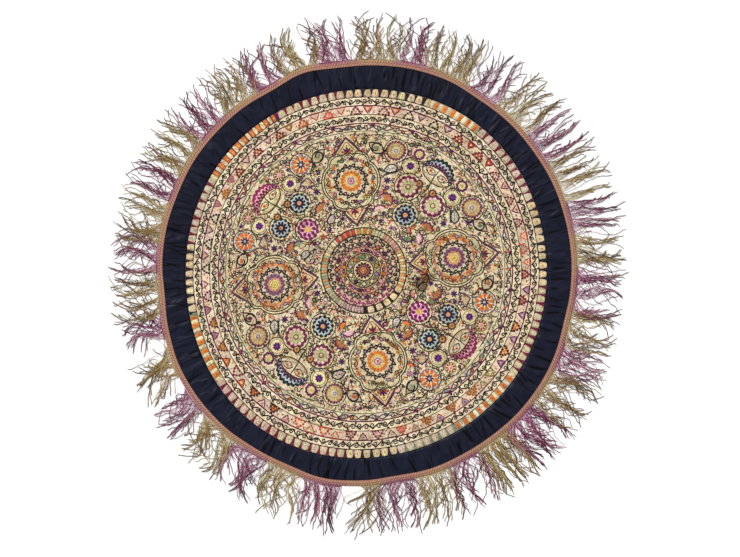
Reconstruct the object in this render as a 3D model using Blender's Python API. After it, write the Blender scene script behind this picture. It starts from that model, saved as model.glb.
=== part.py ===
"""A round embroidered tablecloth laid out flat, face up, with +Z up.

The origin is under the middle of the embroidered panel, on the surface that the cloth lies on. +X and +Y are
the right and the top of the cloth. Angles are in degrees, anticlockwise from +X, and lengths are in metres.
"""

import math

import bmesh
import bpy

# Driving sizes
PANEL_RADIUS = 0.3945
PANEL_THICK = 0.0016
BORDER_THICK = 0.0012
BRAID_WIDTH = 0.0125
BRAID_LAP = 0.005
BRAID_THICK = 0.0014
STRIP_WIDTH = 0.003
STRIP_THICK = 0.0015
STRIP_GAP = 0.0004
GAP = 0.0003

# Colours of the dyed cloth and thread, linear red, green and blue
GROUND_CREAM = (0.62, 0.48, 0.27)
SATIN_NAVY = (0.010, 0.011, 0.022)
BRAID_ROSE = (0.36, 0.20, 0.15)
DYES = {"olive": (0.25, 0.20, 0.075), "mauve": (0.20, 0.075, 0.13)}

# The panel's edge isn't a true circle: columns are waves round the edge, height of a wave, angle of a crest
PANEL_WOBBLE = (
    (1, 0.0039, 159),
    (2, 0.0051, 70),
    (3, 0.0017, 6),
    (4, 0.0024, 53),
)

# The fringe is dyed in blocks, one row each: dye, angle where it starts, lean of its locks towards
# anticlockwise, reach of its tips from the origin, and distance of the braid's inner edge from the origin
FRINGE_BLOCKS = (
    ("olive", 2.0, -13, 0.548, 0.440),
    ("mauve", 11.0, -7, 0.559, 0.441),
    ("olive", 20.0, -4, 0.559, 0.443),
    ("mauve", 32.0, -2, 0.557, 0.443),
    ("olive", 41.0, -12, 0.559, 0.445),
    ("mauve", 53.0, -5, 0.561, 0.444),
    ("olive", 61.5, 9, 0.555, 0.450),
    ("mauve", 73.5, 2, 0.553, 0.450),
    ("olive", 81.0, 3, 0.553, 0.448),
    ("mauve", 93.5, 14, 0.548, 0.446),
    ("olive", 103.0, 1, 0.553, 0.454),
    ("mauve", 113.0, 3, 0.542, 0.442),
    ("olive", 121.0, -5, 0.546, 0.445),
    ("mauve", 132.5, -7, 0.548, 0.444),
    ("olive", 141.0, 1, 0.550, 0.444),
    ("mauve", 153.0, -2, 0.553, 0.441),
    ("olive", 160.0, -4, 0.548, 0.442),
    ("mauve", 172.0, 3, 0.548, 0.441),
    ("olive", 180.0, -6, 0.546, 0.436),
    ("mauve", 191.5, -7, 0.544, 0.443),
    ("olive", 200.0, 9, 0.544, 0.449),
    ("mauve", 212.0, 4, 0.550, 0.450),
    ("olive", 220.0, 14, 0.548, 0.449),
    ("mauve", 232.5, 10, 0.548, 0.445),
    ("olive", 242.0, 4, 0.555, 0.443),
    ("mauve", 252.5, 9, 0.553, 0.449),
    ("olive", 263.0, -6, 0.561, 0.444),
    ("mauve", 273.5, -9, 0.555, 0.437),
    ("olive", 283.0, -8, 0.563, 0.440),
    ("mauve", 293.5, -10, 0.553, 0.438),
    ("olive", 302.0, 2, 0.563, 0.438),
    ("mauve", 312.0, 0, 0.561, 0.440),
    ("olive", 322.0, 5, 0.561, 0.440),
    ("mauve", 333.0, -3, 0.557, 0.439),
    ("olive", 341.0, -6, 0.544, 0.434),
    ("mauve", 350.5, -4, 0.550, 0.438),
)
BLEND_ANGLE = 6.5
LOCK_PITCH = 1.25
LOCK_ROOT = 0.0064
LOCK_TIP = 0.0040
TIP_RISE = 0.0011
LOCK_STEPS = 3
LOCK_SWAY = 0.0015
LOCK_SWAY_TURN = 2.3
LOCK_LENGTHS = (0.0, -0.007, 0.003, -0.004, 0.005, -0.010, 0.001)

# Creases of the satin border, one row each: angle, height, width in degrees, and slant, which is how far the
# crease has turned by the border's outer edge
CREASES = (
    (5.6, 0.0023, 1.7, -1.0),
    (16.9, 0.0014, 1.8, 1.2),
    (25.5, 0.0018, 2.0, 1.8),
    (36.4, 0.0016, 1.8, 2.0),
    (43.6, 0.0019, 2.2, 1.0),
    (57.0, 0.0012, 2.0, -1.0),
    (66.2, 0.0018, 1.8, -1.5),
    (74.5, 0.0013, 1.7, 0.5),
    (84.8, 0.0016, 1.8, 0.0),
    (97.8, 0.0019, 1.8, 1.0),
    (111.8, 0.0015, 2.0, -0.8),
    (126.0, 0.0012, 2.2, 1.0),
    (141.0, 0.0015, 2.0, -1.4),
    (155.0, 0.0012, 2.4, 0.8),
    (171.0, 0.0014, 2.2, 0.6),
    (189.0, 0.0021, 1.7, 0.0),
    (199.0, 0.0014, 1.8, -1.0),
    (208.0, 0.0017, 1.8, -0.6),
    (217.0, 0.0015, 1.8, -1.2),
    (231.0, 0.0012, 2.2, 1.0),
    (246.0, 0.0016, 1.8, 0.6),
    (258.5, 0.0018, 1.8, -0.6),
    (270.0, 0.0012, 2.4, 2.4),
    (283.0, 0.0017, 2.4, 3.0),
    (296.0, 0.0014, 2.2, -2.0),
    (304.6, 0.0019, 1.8, 1.0),
    (313.4, 0.0021, 2.0, 2.6),
    (322.6, 0.0023, 1.8, 2.0),
    (329.0, 0.0019, 1.8, 1.2),
    (339.5, 0.0024, 1.7, -1.6),
    (354.6, 0.0023, 1.7, -1.6),
)
CREASE_FLOOR = 0.0001
CREASE_EASE = 0.012
FLAT_BY_BRAID = 0.0015
BORDER_BANDS = (0.0, 0.26, 0.66)

# The panel's slight cockle, and how finely its outline is drawn
COCKLE_HEIGHT = 0.00025
COCKLE_WAVES = 7
COCKLE_RINGS = 3
PANEL_RINGS = (0.36, 0.70, 0.93, 1.0)
PANEL_STEPS = 96

# Straight sides round the border and the braid
RING_STEPS = 200


def clear_scene():
    """Empties the scene."""
    for item in list(bpy.data.objects):
        bpy.data.objects.remove(item, do_unlink=True)


def cloth_material(name, colour, roughness):
    """A plain material in a cloth's colour."""
    material = bpy.data.materials.new(name)
    material.use_nodes = True
    shader = material.node_tree.nodes["Principled BSDF"]
    shader.inputs["Base Color"].default_value = (*colour, 1.0)
    shader.inputs["Roughness"].default_value = roughness
    shader.inputs["Metallic"].default_value = 0.0
    return material


def add_object(name, mesh_tool, material):
    """Makes a node of the finished mesh, with its faces pointing out."""
    bmesh.ops.recalc_face_normals(mesh_tool, faces=mesh_tool.faces)
    mesh = bpy.data.meshes.new(name)
    mesh_tool.to_mesh(mesh)
    mesh_tool.free()
    mesh.materials.append(material)
    node = bpy.data.objects.new(name, mesh)
    bpy.context.scene.collection.objects.link(node)
    return node


def place(radius, angle, height):
    """The point at this distance and angle round the origin."""
    turn = math.radians(angle)
    return (radius * math.cos(turn), radius * math.sin(turn), height)


def apart(angle, other):
    """How far angle lies past other, from -180 to 180."""
    return (angle - other + 180) % 360 - 180


def block_ends(index):
    """The angles where a fringe block starts and ends."""
    start = FRINGE_BLOCKS[index][1]
    end = FRINGE_BLOCKS[(index + 1) % len(FRINGE_BLOCKS)][1]
    return start, end if end > start else end + 360


def eased(angle, column):
    """A column of the fringe table, blended smoothly from block to block."""
    total, weight = 0.0, 0.0
    for index, row in enumerate(FRINGE_BLOCKS):
        middle = sum(block_ends(index)) / 2
        share = math.exp(-((apart(angle, middle) / BLEND_ANGLE) ** 2))
        total += share * row[column]
        weight += share
    return total / weight


def lock_lean(angle):
    """The lean of a lock whose root is at this angle, in degrees."""
    return eased(angle, 2)


def fringe_reach(angle):
    """How far from the origin the fringe reaches at this angle."""
    return eased(angle, 3)


def braid_inner(angle):
    """Radius of the braid's inner edge, up to which the border shows."""
    return eased(angle, 4)


def braid_outer(angle):
    """Radius of the braid's outer edge on its straight sides, which the fringe's strips follow."""
    side = 360 / RING_STEPS
    before = math.floor(angle / side) * side
    near, far = braid_inner(before) + BRAID_WIDTH, braid_inner(before + side) + BRAID_WIDTH
    into, left = math.radians(angle - before), math.radians(before + side - angle)
    return near * far * math.sin(math.radians(side)) / (near * math.sin(into) + far * math.sin(left))


def panel_edge(angle):
    """Radius of the panel's edge."""
    radius = PANEL_RADIUS
    for waves, height, crest in PANEL_WOBBLE:
        radius += height * math.cos(math.radians(waves * (angle - crest)))
    return radius


def ring_solid(name, material, profile):
    """A closed ring. profile(angle) gives the outline of its section as (radius, height) points."""
    tool = bmesh.new()
    loops = []
    for step in range(RING_STEPS):
        angle = 360 * step / RING_STEPS
        loops.append([tool.verts.new(place(radius, angle, height)) for radius, height in profile(angle)])
    for step, loop in enumerate(loops):
        following = loops[(step + 1) % RING_STEPS]
        for corner in range(len(loop)):
            after = (corner + 1) % len(loop)
            tool.faces.new((loop[corner], following[corner], following[after], loop[after]))
    return add_object(name, tool, material)


def panel_solid(material):
    """The embroidered round: flat below, and slightly cockled on top."""
    tool = bmesh.new()
    hub = tool.verts.new((0, 0, PANEL_THICK))
    loops = []
    for share in PANEL_RINGS:
        loop = []
        for step in range(PANEL_STEPS):
            angle = 360 * step / PANEL_STEPS
            wave = math.cos(math.radians(COCKLE_WAVES * angle)) * math.sin(COCKLE_RINGS * math.pi * share)
            loop.append(tool.verts.new(place(share * panel_edge(angle), angle, PANEL_THICK + COCKLE_HEIGHT * wave)))
        loops.append(loop)
    foot = [tool.verts.new(place(panel_edge(360 * step / PANEL_STEPS), 360 * step / PANEL_STEPS, 0))
            for step in range(PANEL_STEPS)]
    for step in range(PANEL_STEPS):
        after = (step + 1) % PANEL_STEPS
        tool.faces.new((hub, loops[0][step], loops[0][after]))
        for inner, outer in zip(loops, loops[1:] + [foot]):
            tool.faces.new((inner[step], outer[step], outer[after], inner[after]))
    tool.faces.new(foot)
    return add_object("panel", tool, material)


def crease_lift(angle, share):
    """Height that the creases lift the border, at a share of the way across it."""
    lift = 0.0
    for middle, height, width, slant in CREASES:
        off = apart(angle, middle + slant * (share - 0.5))
        lift += height * math.exp(-((off / width) ** 2))
    return lift


def border_solid(material):
    """The satin border: one sheet whose creases stand off the surface, flat at both of its edges."""

    def profile(angle):
        inner = panel_edge(angle) + GAP
        lap = braid_inner(angle) - FLAT_BY_BRAID
        outer = braid_inner(angle) + BRAID_LAP
        radii = [inner + share * (lap - inner) for share in BORDER_BANDS] + [lap, outer]
        lifts = []
        for radius in radii:
            share = (radius - inner) / (lap - inner)
            ease = min(1.0, (radius - inner) / CREASE_EASE, max(0.0, lap - radius) / CREASE_EASE)
            lifts.append(max(0.0, crease_lift(angle, share) * ease - CREASE_FLOOR))
        top = [(radius, lift + BORDER_THICK) for radius, lift in zip(radii, lifts)]
        return top + list(reversed(list(zip(radii, lifts))))

    return ring_solid("satin_border", material, profile)


def braid_solid(material):
    """The woven braid that heads the fringe: it laps over the border's edge and steps down outside it."""
    above = BORDER_THICK + GAP

    def profile(angle):
        inner = braid_inner(angle)
        step = inner + BRAID_LAP + GAP
        outer = inner + BRAID_WIDTH
        return [
            (inner, above),
            (step, above),
            (step, 0),
            (outer, 0),
            (outer, BRAID_THICK),
            (step + BRAID_THICK, above + BRAID_THICK),
            (inner, above + BRAID_THICK),
        ]

    return ring_solid("braid", material, profile)


def lock_line(angle, number):
    """Points along the middle of a lock, from its root, as (radius, angle, half width, rise)."""
    root = braid_outer(angle) + STRIP_GAP + STRIP_WIDTH
    length = fringe_reach(angle) + LOCK_LENGTHS[number % len(LOCK_LENGTHS)] - root
    lean = math.tan(math.radians(lock_lean(angle)))
    points = []
    for step in range(LOCK_STEPS + 1):
        share = step / LOCK_STEPS
        sway = LOCK_SWAY * math.sin(math.pi * share * 1.5 + number * LOCK_SWAY_TURN) * share
        radius = root + length * share
        turned = angle + math.degrees((length * share * lean + sway) / radius)
        half = (LOCK_ROOT + (LOCK_TIP - LOCK_ROOT) * share) / 2
        rise = STRIP_THICK + (TIP_RISE - STRIP_THICK) * share
        points.append((radius, turned, half, rise))
    return points


def draw_lock(tool, foot_left, foot_right, crest, line):
    """A three-sided lock, drawn out of its root triangle along the line, flat below."""
    ring = (foot_left, foot_right, crest)
    for radius, angle, half, rise in line[1:]:
        spread = math.degrees(half / radius)
        following = (
            tool.verts.new(place(radius, angle - spread, 0)),
            tool.verts.new(place(radius, angle + spread, 0)),
            tool.verts.new(place(radius, angle, rise)),
        )
        for corner in range(3):
            after = (corner + 1) % 3
            tool.faces.new((ring[corner], ring[after], following[after], following[corner]))
        ring = following
    tool.faces.new(ring)


def fringe_block(index, material, first_lock):
    """One dyed block of the fringe: a narrow strip, and locks that start as triangles in its outer wall."""
    start, end = block_ends(index)
    count = round((end - start) / LOCK_PITCH)
    trim = math.degrees(GAP / 2 / braid_outer(start))
    start, end = start + trim, end - trim
    tool = bmesh.new()

    def corner_pair(radius, angle):
        return tool.verts.new(place(radius, angle, 0)), tool.verts.new(place(radius, angle, STRIP_THICK))

    # The inner wall follows the braid's straight sides
    side = 360 / RING_STEPS
    turns = [start, *(side * step for step in range(math.ceil(start / side), math.floor(end / side) + 1)), end]
    inner = [corner_pair(braid_outer(angle) + STRIP_GAP, angle) for angle in turns]
    # The outer wall holds each lock's root: two feet, with its crest between them
    outer = [corner_pair(braid_outer(start) + STRIP_GAP + STRIP_WIDTH, start)]
    crests = []
    for number in range(count):
        line = lock_line(start + (end - start) * (number + 0.5) / count, first_lock + number)
        radius, angle, half, rise = line[0]
        spread = math.degrees(half / radius)
        outer += [corner_pair(radius, angle - spread), corner_pair(radius, angle + spread)]
        crests.append(tool.verts.new(place(radius, angle, rise)))
        draw_lock(tool, outer[-2][0], outer[-1][0], crests[-1], line)
    outer.append(corner_pair(braid_outer(end) + STRIP_GAP + STRIP_WIDTH, end))
    for left, right in zip(inner, inner[1:]):
        tool.faces.new((left[0], left[1], right[1], right[0]))
    rim = [outer[0][1]]
    for number, (left, right) in enumerate(zip(outer, outer[1:])):
        if number % 2:
            crest = crests[number // 2]
            tool.faces.new((left[0], crest, left[1]))
            tool.faces.new((right[0], right[1], crest))
            rim.append(crest)
        else:
            tool.faces.new((left[0], right[0], right[1], left[1]))
        rim.append(right[1])
    tool.faces.new((inner[0][0], outer[0][0], outer[0][1], inner[0][1]))
    tool.faces.new((inner[-1][0], inner[-1][1], outer[-1][1], outer[-1][0]))
    tool.faces.new([pair[0] for pair in inner] + [pair[0] for pair in reversed(outer)])
    tool.faces.new([pair[1] for pair in inner] + list(reversed(rim)))
    add_object(f"fringe_{index + 1:02d}_{FRINGE_BLOCKS[index][0]}", tool, material)
    return count


def build():
    """Makes the cloth's pieces, from the middle out."""
    clear_scene()
    panel_solid(cloth_material("panel ground", GROUND_CREAM, 0.8))
    border_solid(cloth_material("satin", SATIN_NAVY, 0.45))
    braid_solid(cloth_material("braid", BRAID_ROSE, 0.75))
    threads = {dye: cloth_material(dye + " thread", colour, 0.6) for dye, colour in DYES.items()}
    locks = 0
    for index, row in enumerate(FRINGE_BLOCKS):
        locks += fringe_block(index, threads[row[0]], locks)


build()
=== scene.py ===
"""The look of a round embroidered tablecloth, laid out flat and face up.

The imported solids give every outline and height, and the cloth, stitching and fringe are laid on them.
Lengths are in metres, except in the needlework, whose sizes are in millimetres from the pattern's middle.
"""

import bisect
import math
import random

import bpy
import numpy as np
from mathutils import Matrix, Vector
from mathutils.bvhtree import BVHTree


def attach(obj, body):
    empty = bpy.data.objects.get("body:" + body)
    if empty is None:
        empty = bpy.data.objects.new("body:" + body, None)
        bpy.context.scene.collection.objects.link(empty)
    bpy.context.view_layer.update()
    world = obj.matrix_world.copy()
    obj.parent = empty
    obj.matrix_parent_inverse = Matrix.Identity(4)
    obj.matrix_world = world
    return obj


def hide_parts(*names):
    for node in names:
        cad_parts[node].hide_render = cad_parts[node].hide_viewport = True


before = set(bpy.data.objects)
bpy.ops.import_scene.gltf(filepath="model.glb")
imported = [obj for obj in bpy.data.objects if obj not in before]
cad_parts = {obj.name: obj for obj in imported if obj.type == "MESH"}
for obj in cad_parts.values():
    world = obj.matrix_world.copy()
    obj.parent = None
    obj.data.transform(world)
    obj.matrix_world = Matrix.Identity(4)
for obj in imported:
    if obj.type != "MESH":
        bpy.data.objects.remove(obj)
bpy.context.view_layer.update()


# The camera looks straight down from a long way off, over a pale floor, in soft light from the upper left.
VIEW_WIDTH = 1.591
VIEW_MIDDLE = (0.0060, -0.0099)
CAMERA_HEIGHT = 6.0
SENSOR = 36.0
FLOOR_SIZE = 9.0
FLOOR_DROP = 0.0002
FLOOR_WHITE = 0.90
SKY_STRENGTH = 0.62
LAMP_STRENGTH = 2.9
LAMP_TILT = (math.radians(46), 0.0, math.radians(-140))
LAMP_SOFTNESS = math.radians(24)
CLOTH_SHEEN = 0.18

scene = bpy.context.scene
scene.view_settings.view_transform = "Standard"


def put(name, data):
    """Puts an object with this data in the scene."""
    made = bpy.data.objects.new(name, data)
    scene.collection.objects.link(made)
    return made


lens = bpy.data.cameras.new("overhead")
lens.sensor_width = SENSOR
lens.lens = SENSOR * CAMERA_HEIGHT / VIEW_WIDTH
lens.clip_end = 50.0
camera = put("overhead", lens)
camera.location = (*VIEW_MIDDLE, CAMERA_HEIGHT)
scene.camera = camera

lamp_data = bpy.data.lights.new("soft lamp", "SUN")
lamp_data.energy = LAMP_STRENGTH
lamp_data.angle = LAMP_SOFTNESS
put("soft lamp", lamp_data).rotation_euler = LAMP_TILT

sky = bpy.data.worlds.new("studio")
sky.use_nodes = True
backdrop = sky.node_tree.nodes["Background"].inputs
backdrop["Color"].default_value = (1.0, 1.0, 1.0, 1.0)
backdrop["Strength"].default_value = SKY_STRENGTH
scene.world = sky


def new_material(name, roughness):
    """A material with its shader and node tree, ready for its colour and bump."""
    material = bpy.data.materials.new(name)
    material.use_nodes = True
    shader = material.node_tree.nodes["Principled BSDF"]
    shader.inputs["Roughness"].default_value = roughness
    shader.inputs["Specular IOR Level"].default_value = CLOTH_SHEEN
    return material, shader, material.node_tree


floor_mesh = bpy.data.meshes.new("floor")
sides = ((-1, -1), (1, -1), (1, 1), (-1, 1))
corners = [(x * FLOOR_SIZE / 2, y * FLOOR_SIZE / 2, -FLOOR_DROP) for x, y in sides]
floor_mesh.from_pydata(corners, [], [(0, 1, 2, 3)])
floor = put("floor", floor_mesh)
floor_paint, floor_shader, _ = new_material("floor paint", 0.9)
floor_shader.inputs["Base Color"].default_value = (FLOOR_WHITE, FLOOR_WHITE, FLOOR_WHITE, 1.0)
floor_mesh.materials.append(floor_paint)


# The embroidered panel's ground: one round of cream cotton, tea-coloured with age and stitched all over with
# fine filling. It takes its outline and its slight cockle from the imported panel.
GROUND_RISE = 0.00012
GROUND_RINGS = 40
GROUND_STEPS = 288
GROUND_FOOT = 0.0001
GROUND_HOLE = 0.001
RIM_EASE = 0.0002
RIM_STEPS = 200
PATTERN_TURN = 8.5
PATTERN_RADIUS = 394.7
PATTERN_OFF = (-8.0, 7.5)
# Columns: place of a worn brown patch from the cloth's middle, and how far it reaches
STAINS = (
    (0.1165, -0.0215, 0.0165),
    (0.1270, -0.0110, 0.0120),
    (0.1410, -0.0050, 0.0070),
)
STAIN_RAGGED = 0.014
STAIN_EDGE, STAIN_CORE = 0.012, 0.003
FAR_OFF = 1.0
PANEL_MAP = 0.82
# The length of one wave at a scale of 1
ONE_BAND = 0.314
STITCH_DEEP = 0.0003
FILL_PATCHES = 230.0
MM = 0.001


def dye(*levels):
    """A colour as it looks on a screen, from 0 to 255, in Blender's linear numbers."""
    return tuple(((level / 255 + 0.055) / 1.055) ** 2.4 if level > 10 else level / 3295 for level in levels)


def polar(radius, angle):
    """The place at this distance and angle from the origin."""
    return radius * math.cos(math.radians(angle)), radius * math.sin(math.radians(angle))


def tree_of(node):
    """The node's surface, ready for measuring."""
    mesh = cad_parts[node].data
    corners = [corner.co for corner in mesh.vertices]
    return BVHTree.FromPolygons(corners, [face.vertices for face in mesh.polygons])


def rim_of(node, height, outer=True):
    """The node's outer or inner edge round the origin at this height, as (angle, radius) pairs."""
    tree = tree_of(node)
    middle = Vector((0, 0, height))
    pairs = []
    for step in range(RIM_STEPS):
        angle = 360 * step / RIM_STEPS
        outward = Vector((*polar(1, angle), 0))
        hit = tree.ray_cast(middle + outward, -outward)[0] if outer else tree.ray_cast(middle, outward)[0]
        pairs.append((angle, math.hypot(hit.x, hit.y)))
    return pairs


def smooth_round(pairs):
    """A smooth function of the angle in degrees, through (angle, value) pairs that go once round."""
    angles = [angle for angle, _ in pairs]
    values = [value for _, value in pairs]
    count = len(pairs)

    def value(angle):
        angle %= 360
        here = bisect.bisect_right(angles, angle) - 1
        start = angles[here] - (360 if here < 0 else 0)
        gap = (angles[(here + 1) % count] - angles[here]) % 360
        t = (angle - start) / gap
        a, b, c, d = (values[(here + shift) % count] for shift in (-1, 0, 1, 2))
        return b + 0.5 * t * (c - a + t * (2 * a - 5 * b + 4 * c - d + t * (3 * (b - c) + d - a)))

    return value


def top_of(node):
    """A function that gives the height of the node's upper side at a place, or None off the node."""
    tree = tree_of(node)

    def height(x, y):
        hit = tree.ray_cast(Vector((x, y, 0.1)), Vector((0, 0, -1)))[0]
        return hit.z if hit else None

    return height


def height_at(top, x, y):
    """The height at a place, taken from nearer the middle where the place is just off the edge."""
    for shrink in (1.0, 0.999, 0.997, 0.99, 0.98):
        found = top(x * shrink, y * shrink)
        if found is not None:
            return found
    return 0.0


panel_rim = smooth_round(rim_of("panel", 0.0008))
panel_top = top_of("panel")


def add_piece(name, points, faces, material):
    """Makes a piece of the mesh, puts its material on it and lets it ride on the cloth."""
    mesh = bpy.data.meshes.new(name)
    mesh.from_pydata(points, [], faces)
    mesh.polygons.foreach_set("use_smooth", [True] * len(mesh.polygons))
    mesh.materials.append(material)
    piece = put(name, mesh)
    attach(piece, "root")
    return piece


def add_map(piece, name, places):
    """Gives the piece a texture map with one place for each point."""
    numbers = np.empty(len(piece.data.loops), np.int32)
    piece.data.loops.foreach_get("vertex_index", numbers)
    layer = piece.data.uv_layers.new(name=name)
    layer.uv.foreach_set("vector", np.asarray(places, np.float32)[numbers].ravel())


def add_colours_and_shade(piece, colours):
    """Gives the piece a colour at each point, with painted shade in it where the piece has any."""
    layer = piece.data.color_attributes.new(name="Thread", type="FLOAT_COLOR", domain="POINT")
    full = np.ones((len(colours), 4), np.float32)
    full[:, :3] = colours
    layer.data.foreach_set("color", full.ravel())


def from_above(points, size):
    """Map places for points seen from above, in a square of this size round the origin."""
    return np.asarray(points, np.float32)[:, :2] / size + 0.5


def round_band(steps, section):
    """Points and faces of a band all round. section(angle) gives its cut, as (radius, height) pairs."""
    points, faces = [], []
    for step in range(steps):
        angle = 360 * step / steps
        points += [(*polar(radius, angle), height) for radius, height in section(angle)]
    count = len(points) // steps
    for step in range(steps):
        here, there = step * count, (step + 1) % steps * count
        for corner in range(count):
            after = (corner + 1) % count
            faces.append((here + corner, here + after, there + after, there + corner))
    return points, faces


def ground_section(angle):
    """The panel cut from its middle to its rim, upper side first."""
    edge = panel_rim(angle) - RIM_EASE
    radii = [GROUND_HOLE + (edge - GROUND_HOLE) * ring / GROUND_RINGS for ring in range(GROUND_RINGS + 1)]
    upper = [(radius, height_at(panel_top, *polar(radius, angle)) + GROUND_RISE) for radius in radii]
    return upper + [(edge, GROUND_FOOT), (GROUND_HOLE, GROUND_FOOT)]


def socket(group, name, way, kind="NodeSocketColor", value=None):
    """Adds a named input or output to a node group."""
    made = group.interface.new_socket(name=name, in_out=way, socket_type=kind)
    if value is not None:
        made.default_value = value


def feed(tree, place, value):
    """Joins a socket to a node's input, or sets the input to a number, a place or a colour."""
    if isinstance(value, bpy.types.NodeSocket):
        tree.links.new(value, place)
    else:
        place.default_value = (*value, 1.0) if place.type == "RGBA" else value


def calculate(tree, kind, *values, of="Math"):
    """A sum on sockets, numbers or places. Returns its node's outputs."""
    node = tree.nodes.new("ShaderNode" + of)
    node.operation = kind
    for place, value in zip(node.inputs, values):
        feed(tree, place, value)
    return node.outputs


def tinted(tree, share, colour, tint):
    """A colour multiplied by a tint, as far as the share goes. Returns its output socket."""
    node = tree.nodes.new("ShaderNodeMix")
    node.data_type = "RGBA"
    node.blend_type = "MULTIPLY"
    for place, value in ((0, share), (6, colour), (7, tint)):
        feed(tree, node.inputs[place], value)
    return node.outputs[2]


def ramp(tree, value, low, high):
    """Spreads a value so that low gives 0 and high gives 1. Returns its output socket."""
    node = tree.nodes.new("ShaderNodeMapRange")
    node.inputs["From Min"].default_value = low
    node.inputs["From Max"].default_value = high
    feed(tree, node.inputs["Value"], value)
    return node.outputs["Result"]


def noise(tree, where, scale, detail=2.0, distortion=0.0):
    """Noise with this many patches to one unit of the place. Returns its output socket."""
    node = tree.nodes.new("ShaderNodeTexNoise")
    node.inputs["Scale"].default_value = scale
    node.inputs["Detail"].default_value = detail
    node.inputs["Distortion"].default_value = distortion
    feed(tree, node.inputs["Vector"], where)
    return node.outputs["Fac"]


def object_place(tree):
    """The place on the cloth, in metres."""
    return tree.nodes.new("ShaderNodeTexCoord").outputs["Object"]


def stitch_place(tree):
    """The place in the map named Stitch."""
    node = tree.nodes.new("ShaderNodeUVMap")
    node.uv_map = "Stitch"
    return node.outputs["UV"]


def age_group():
    """Age on cloth and thread: uneven fading, and the worn brown patch beside the right-hand medallion."""
    group = bpy.data.node_groups.new("age", "ShaderNodeTree")
    socket(group, "Colour", "INPUT")
    socket(group, "Fading", "INPUT", "NodeSocketFloat", 0.2)
    socket(group, "Colour", "OUTPUT")
    entry = group.nodes.new("NodeGroupInput").outputs
    leave = group.nodes.new("NodeGroupOutput").inputs
    where = object_place(group)
    uneven = ramp(group, noise(group, where, 16.0, 3.0), 0.35, 0.7)
    amount = calculate(group, "MULTIPLY", uneven, entry["Fading"])[0]
    faded = tinted(group, amount, entry["Colour"], dye(205, 180, 150))
    off = FAR_OFF
    for x, y, reach in STAINS:
        apart = calculate(group, "DISTANCE", where, (x, y, 0.0), of="VectorMath")["Value"]
        off = calculate(group, "MINIMUM", off, calculate(group, "SUBTRACT", apart, reach)[0])[0]
    ragged = calculate(group, "MULTIPLY_ADD", noise(group, where, 190.0, 3.0), STAIN_RAGGED, off)[0]
    worn = ramp(group, ragged, STAIN_EDGE, STAIN_CORE)
    feed(group, leave["Colour"], tinted(group, worn, faded, dye(150, 128, 112)))
    return group


def stitch_group():
    """Fine stitches: thread laid side by side along the map named Stitch, which is in millimetres."""
    group = bpy.data.node_groups.new("stitches", "ShaderNodeTree")
    socket(group, "Colour", "INPUT")
    for name, value in (("Pitch", 0.7), ("Shade", 0.35), ("Streaks", 0.5)):
        socket(group, name, "INPUT", "NodeSocketFloat", value)
    socket(group, "Colour", "OUTPUT")
    socket(group, "Height", "OUTPUT", "NodeSocketFloat")
    entry = group.nodes.new("NodeGroupInput").outputs
    leave = group.nodes.new("NodeGroupOutput").inputs
    where = stitch_place(group)
    wave = group.nodes.new("ShaderNodeTexWave")
    wave.bands_direction = "X"
    wave.inputs["Distortion"].default_value = 1.2
    wave.inputs["Detail"].default_value = 1.0
    wave.inputs["Detail Scale"].default_value = 1.5
    feed(group, wave.inputs["Vector"], where)
    feed(group, wave.inputs["Scale"], calculate(group, "DIVIDE", ONE_BAND, entry["Pitch"])[0])
    threads = wave.outputs["Fac"]
    # Painted shade: where the stitch wave is low, between the stitches, the colour is darkened as far as the
    # Shade input goes.
    hollow_shade = calculate(group, "MULTIPLY", ramp(group, threads, 0.55, 0.0), entry["Shade"])[0]
    shaded = tinted(group, hollow_shade, entry["Colour"], dye(120, 100, 90))
    fleck = ramp(group, noise(group, where, 0.9, 2.0), 0.5, 0.85)
    flecked = tinted(group, fleck, shaded, dye(205, 190, 175))
    stretched = calculate(group, "MULTIPLY", where, (1.0, 0.24, 1.0), of="VectorMath")["Vector"]
    bundles = ramp(group, noise(group, stretched, 0.34, 1.0), 0.50, 0.62)
    streaks = calculate(group, "MULTIPLY", bundles, entry["Streaks"])[0]
    feed(group, leave["Colour"], tinted(group, streaks, flecked, dye(182, 160, 142)))
    feed(group, leave["Height"], threads)
    return group


age = age_group()
stitches = stitch_group()


def use_group(tree, group, **values):
    """Places a node group in a material with its own values. Returns its outputs."""
    node = tree.nodes.new("ShaderNodeGroup")
    node.node_tree = group
    for name, value in values.items():
        feed(tree, node.inputs[name], value)
    return node.outputs


def raise_surface(tree, shader, height, strength, distance):
    """Feeds a height to the shader's normal."""
    bump = tree.nodes.new("ShaderNodeBump")
    bump.inputs["Strength"].default_value = strength
    bump.inputs["Distance"].default_value = distance
    feed(tree, bump.inputs["Height"], height)
    feed(tree, shader.inputs["Normal"], bump.outputs["Normal"])


def work_surface(tree, shader, colour, fading, strength, **values):
    """Ages and stitches a colour with the two groups, and feeds it and the stitches' height to the shader."""
    aged = use_group(tree, age, Colour=colour, Fading=fading)["Colour"]
    worked = use_group(tree, stitches, Colour=aged, **values)
    feed(tree, shader.inputs["Base Color"], worked["Colour"])
    raise_surface(tree, shader, worked["Height"], strength, STITCH_DEEP)


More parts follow.
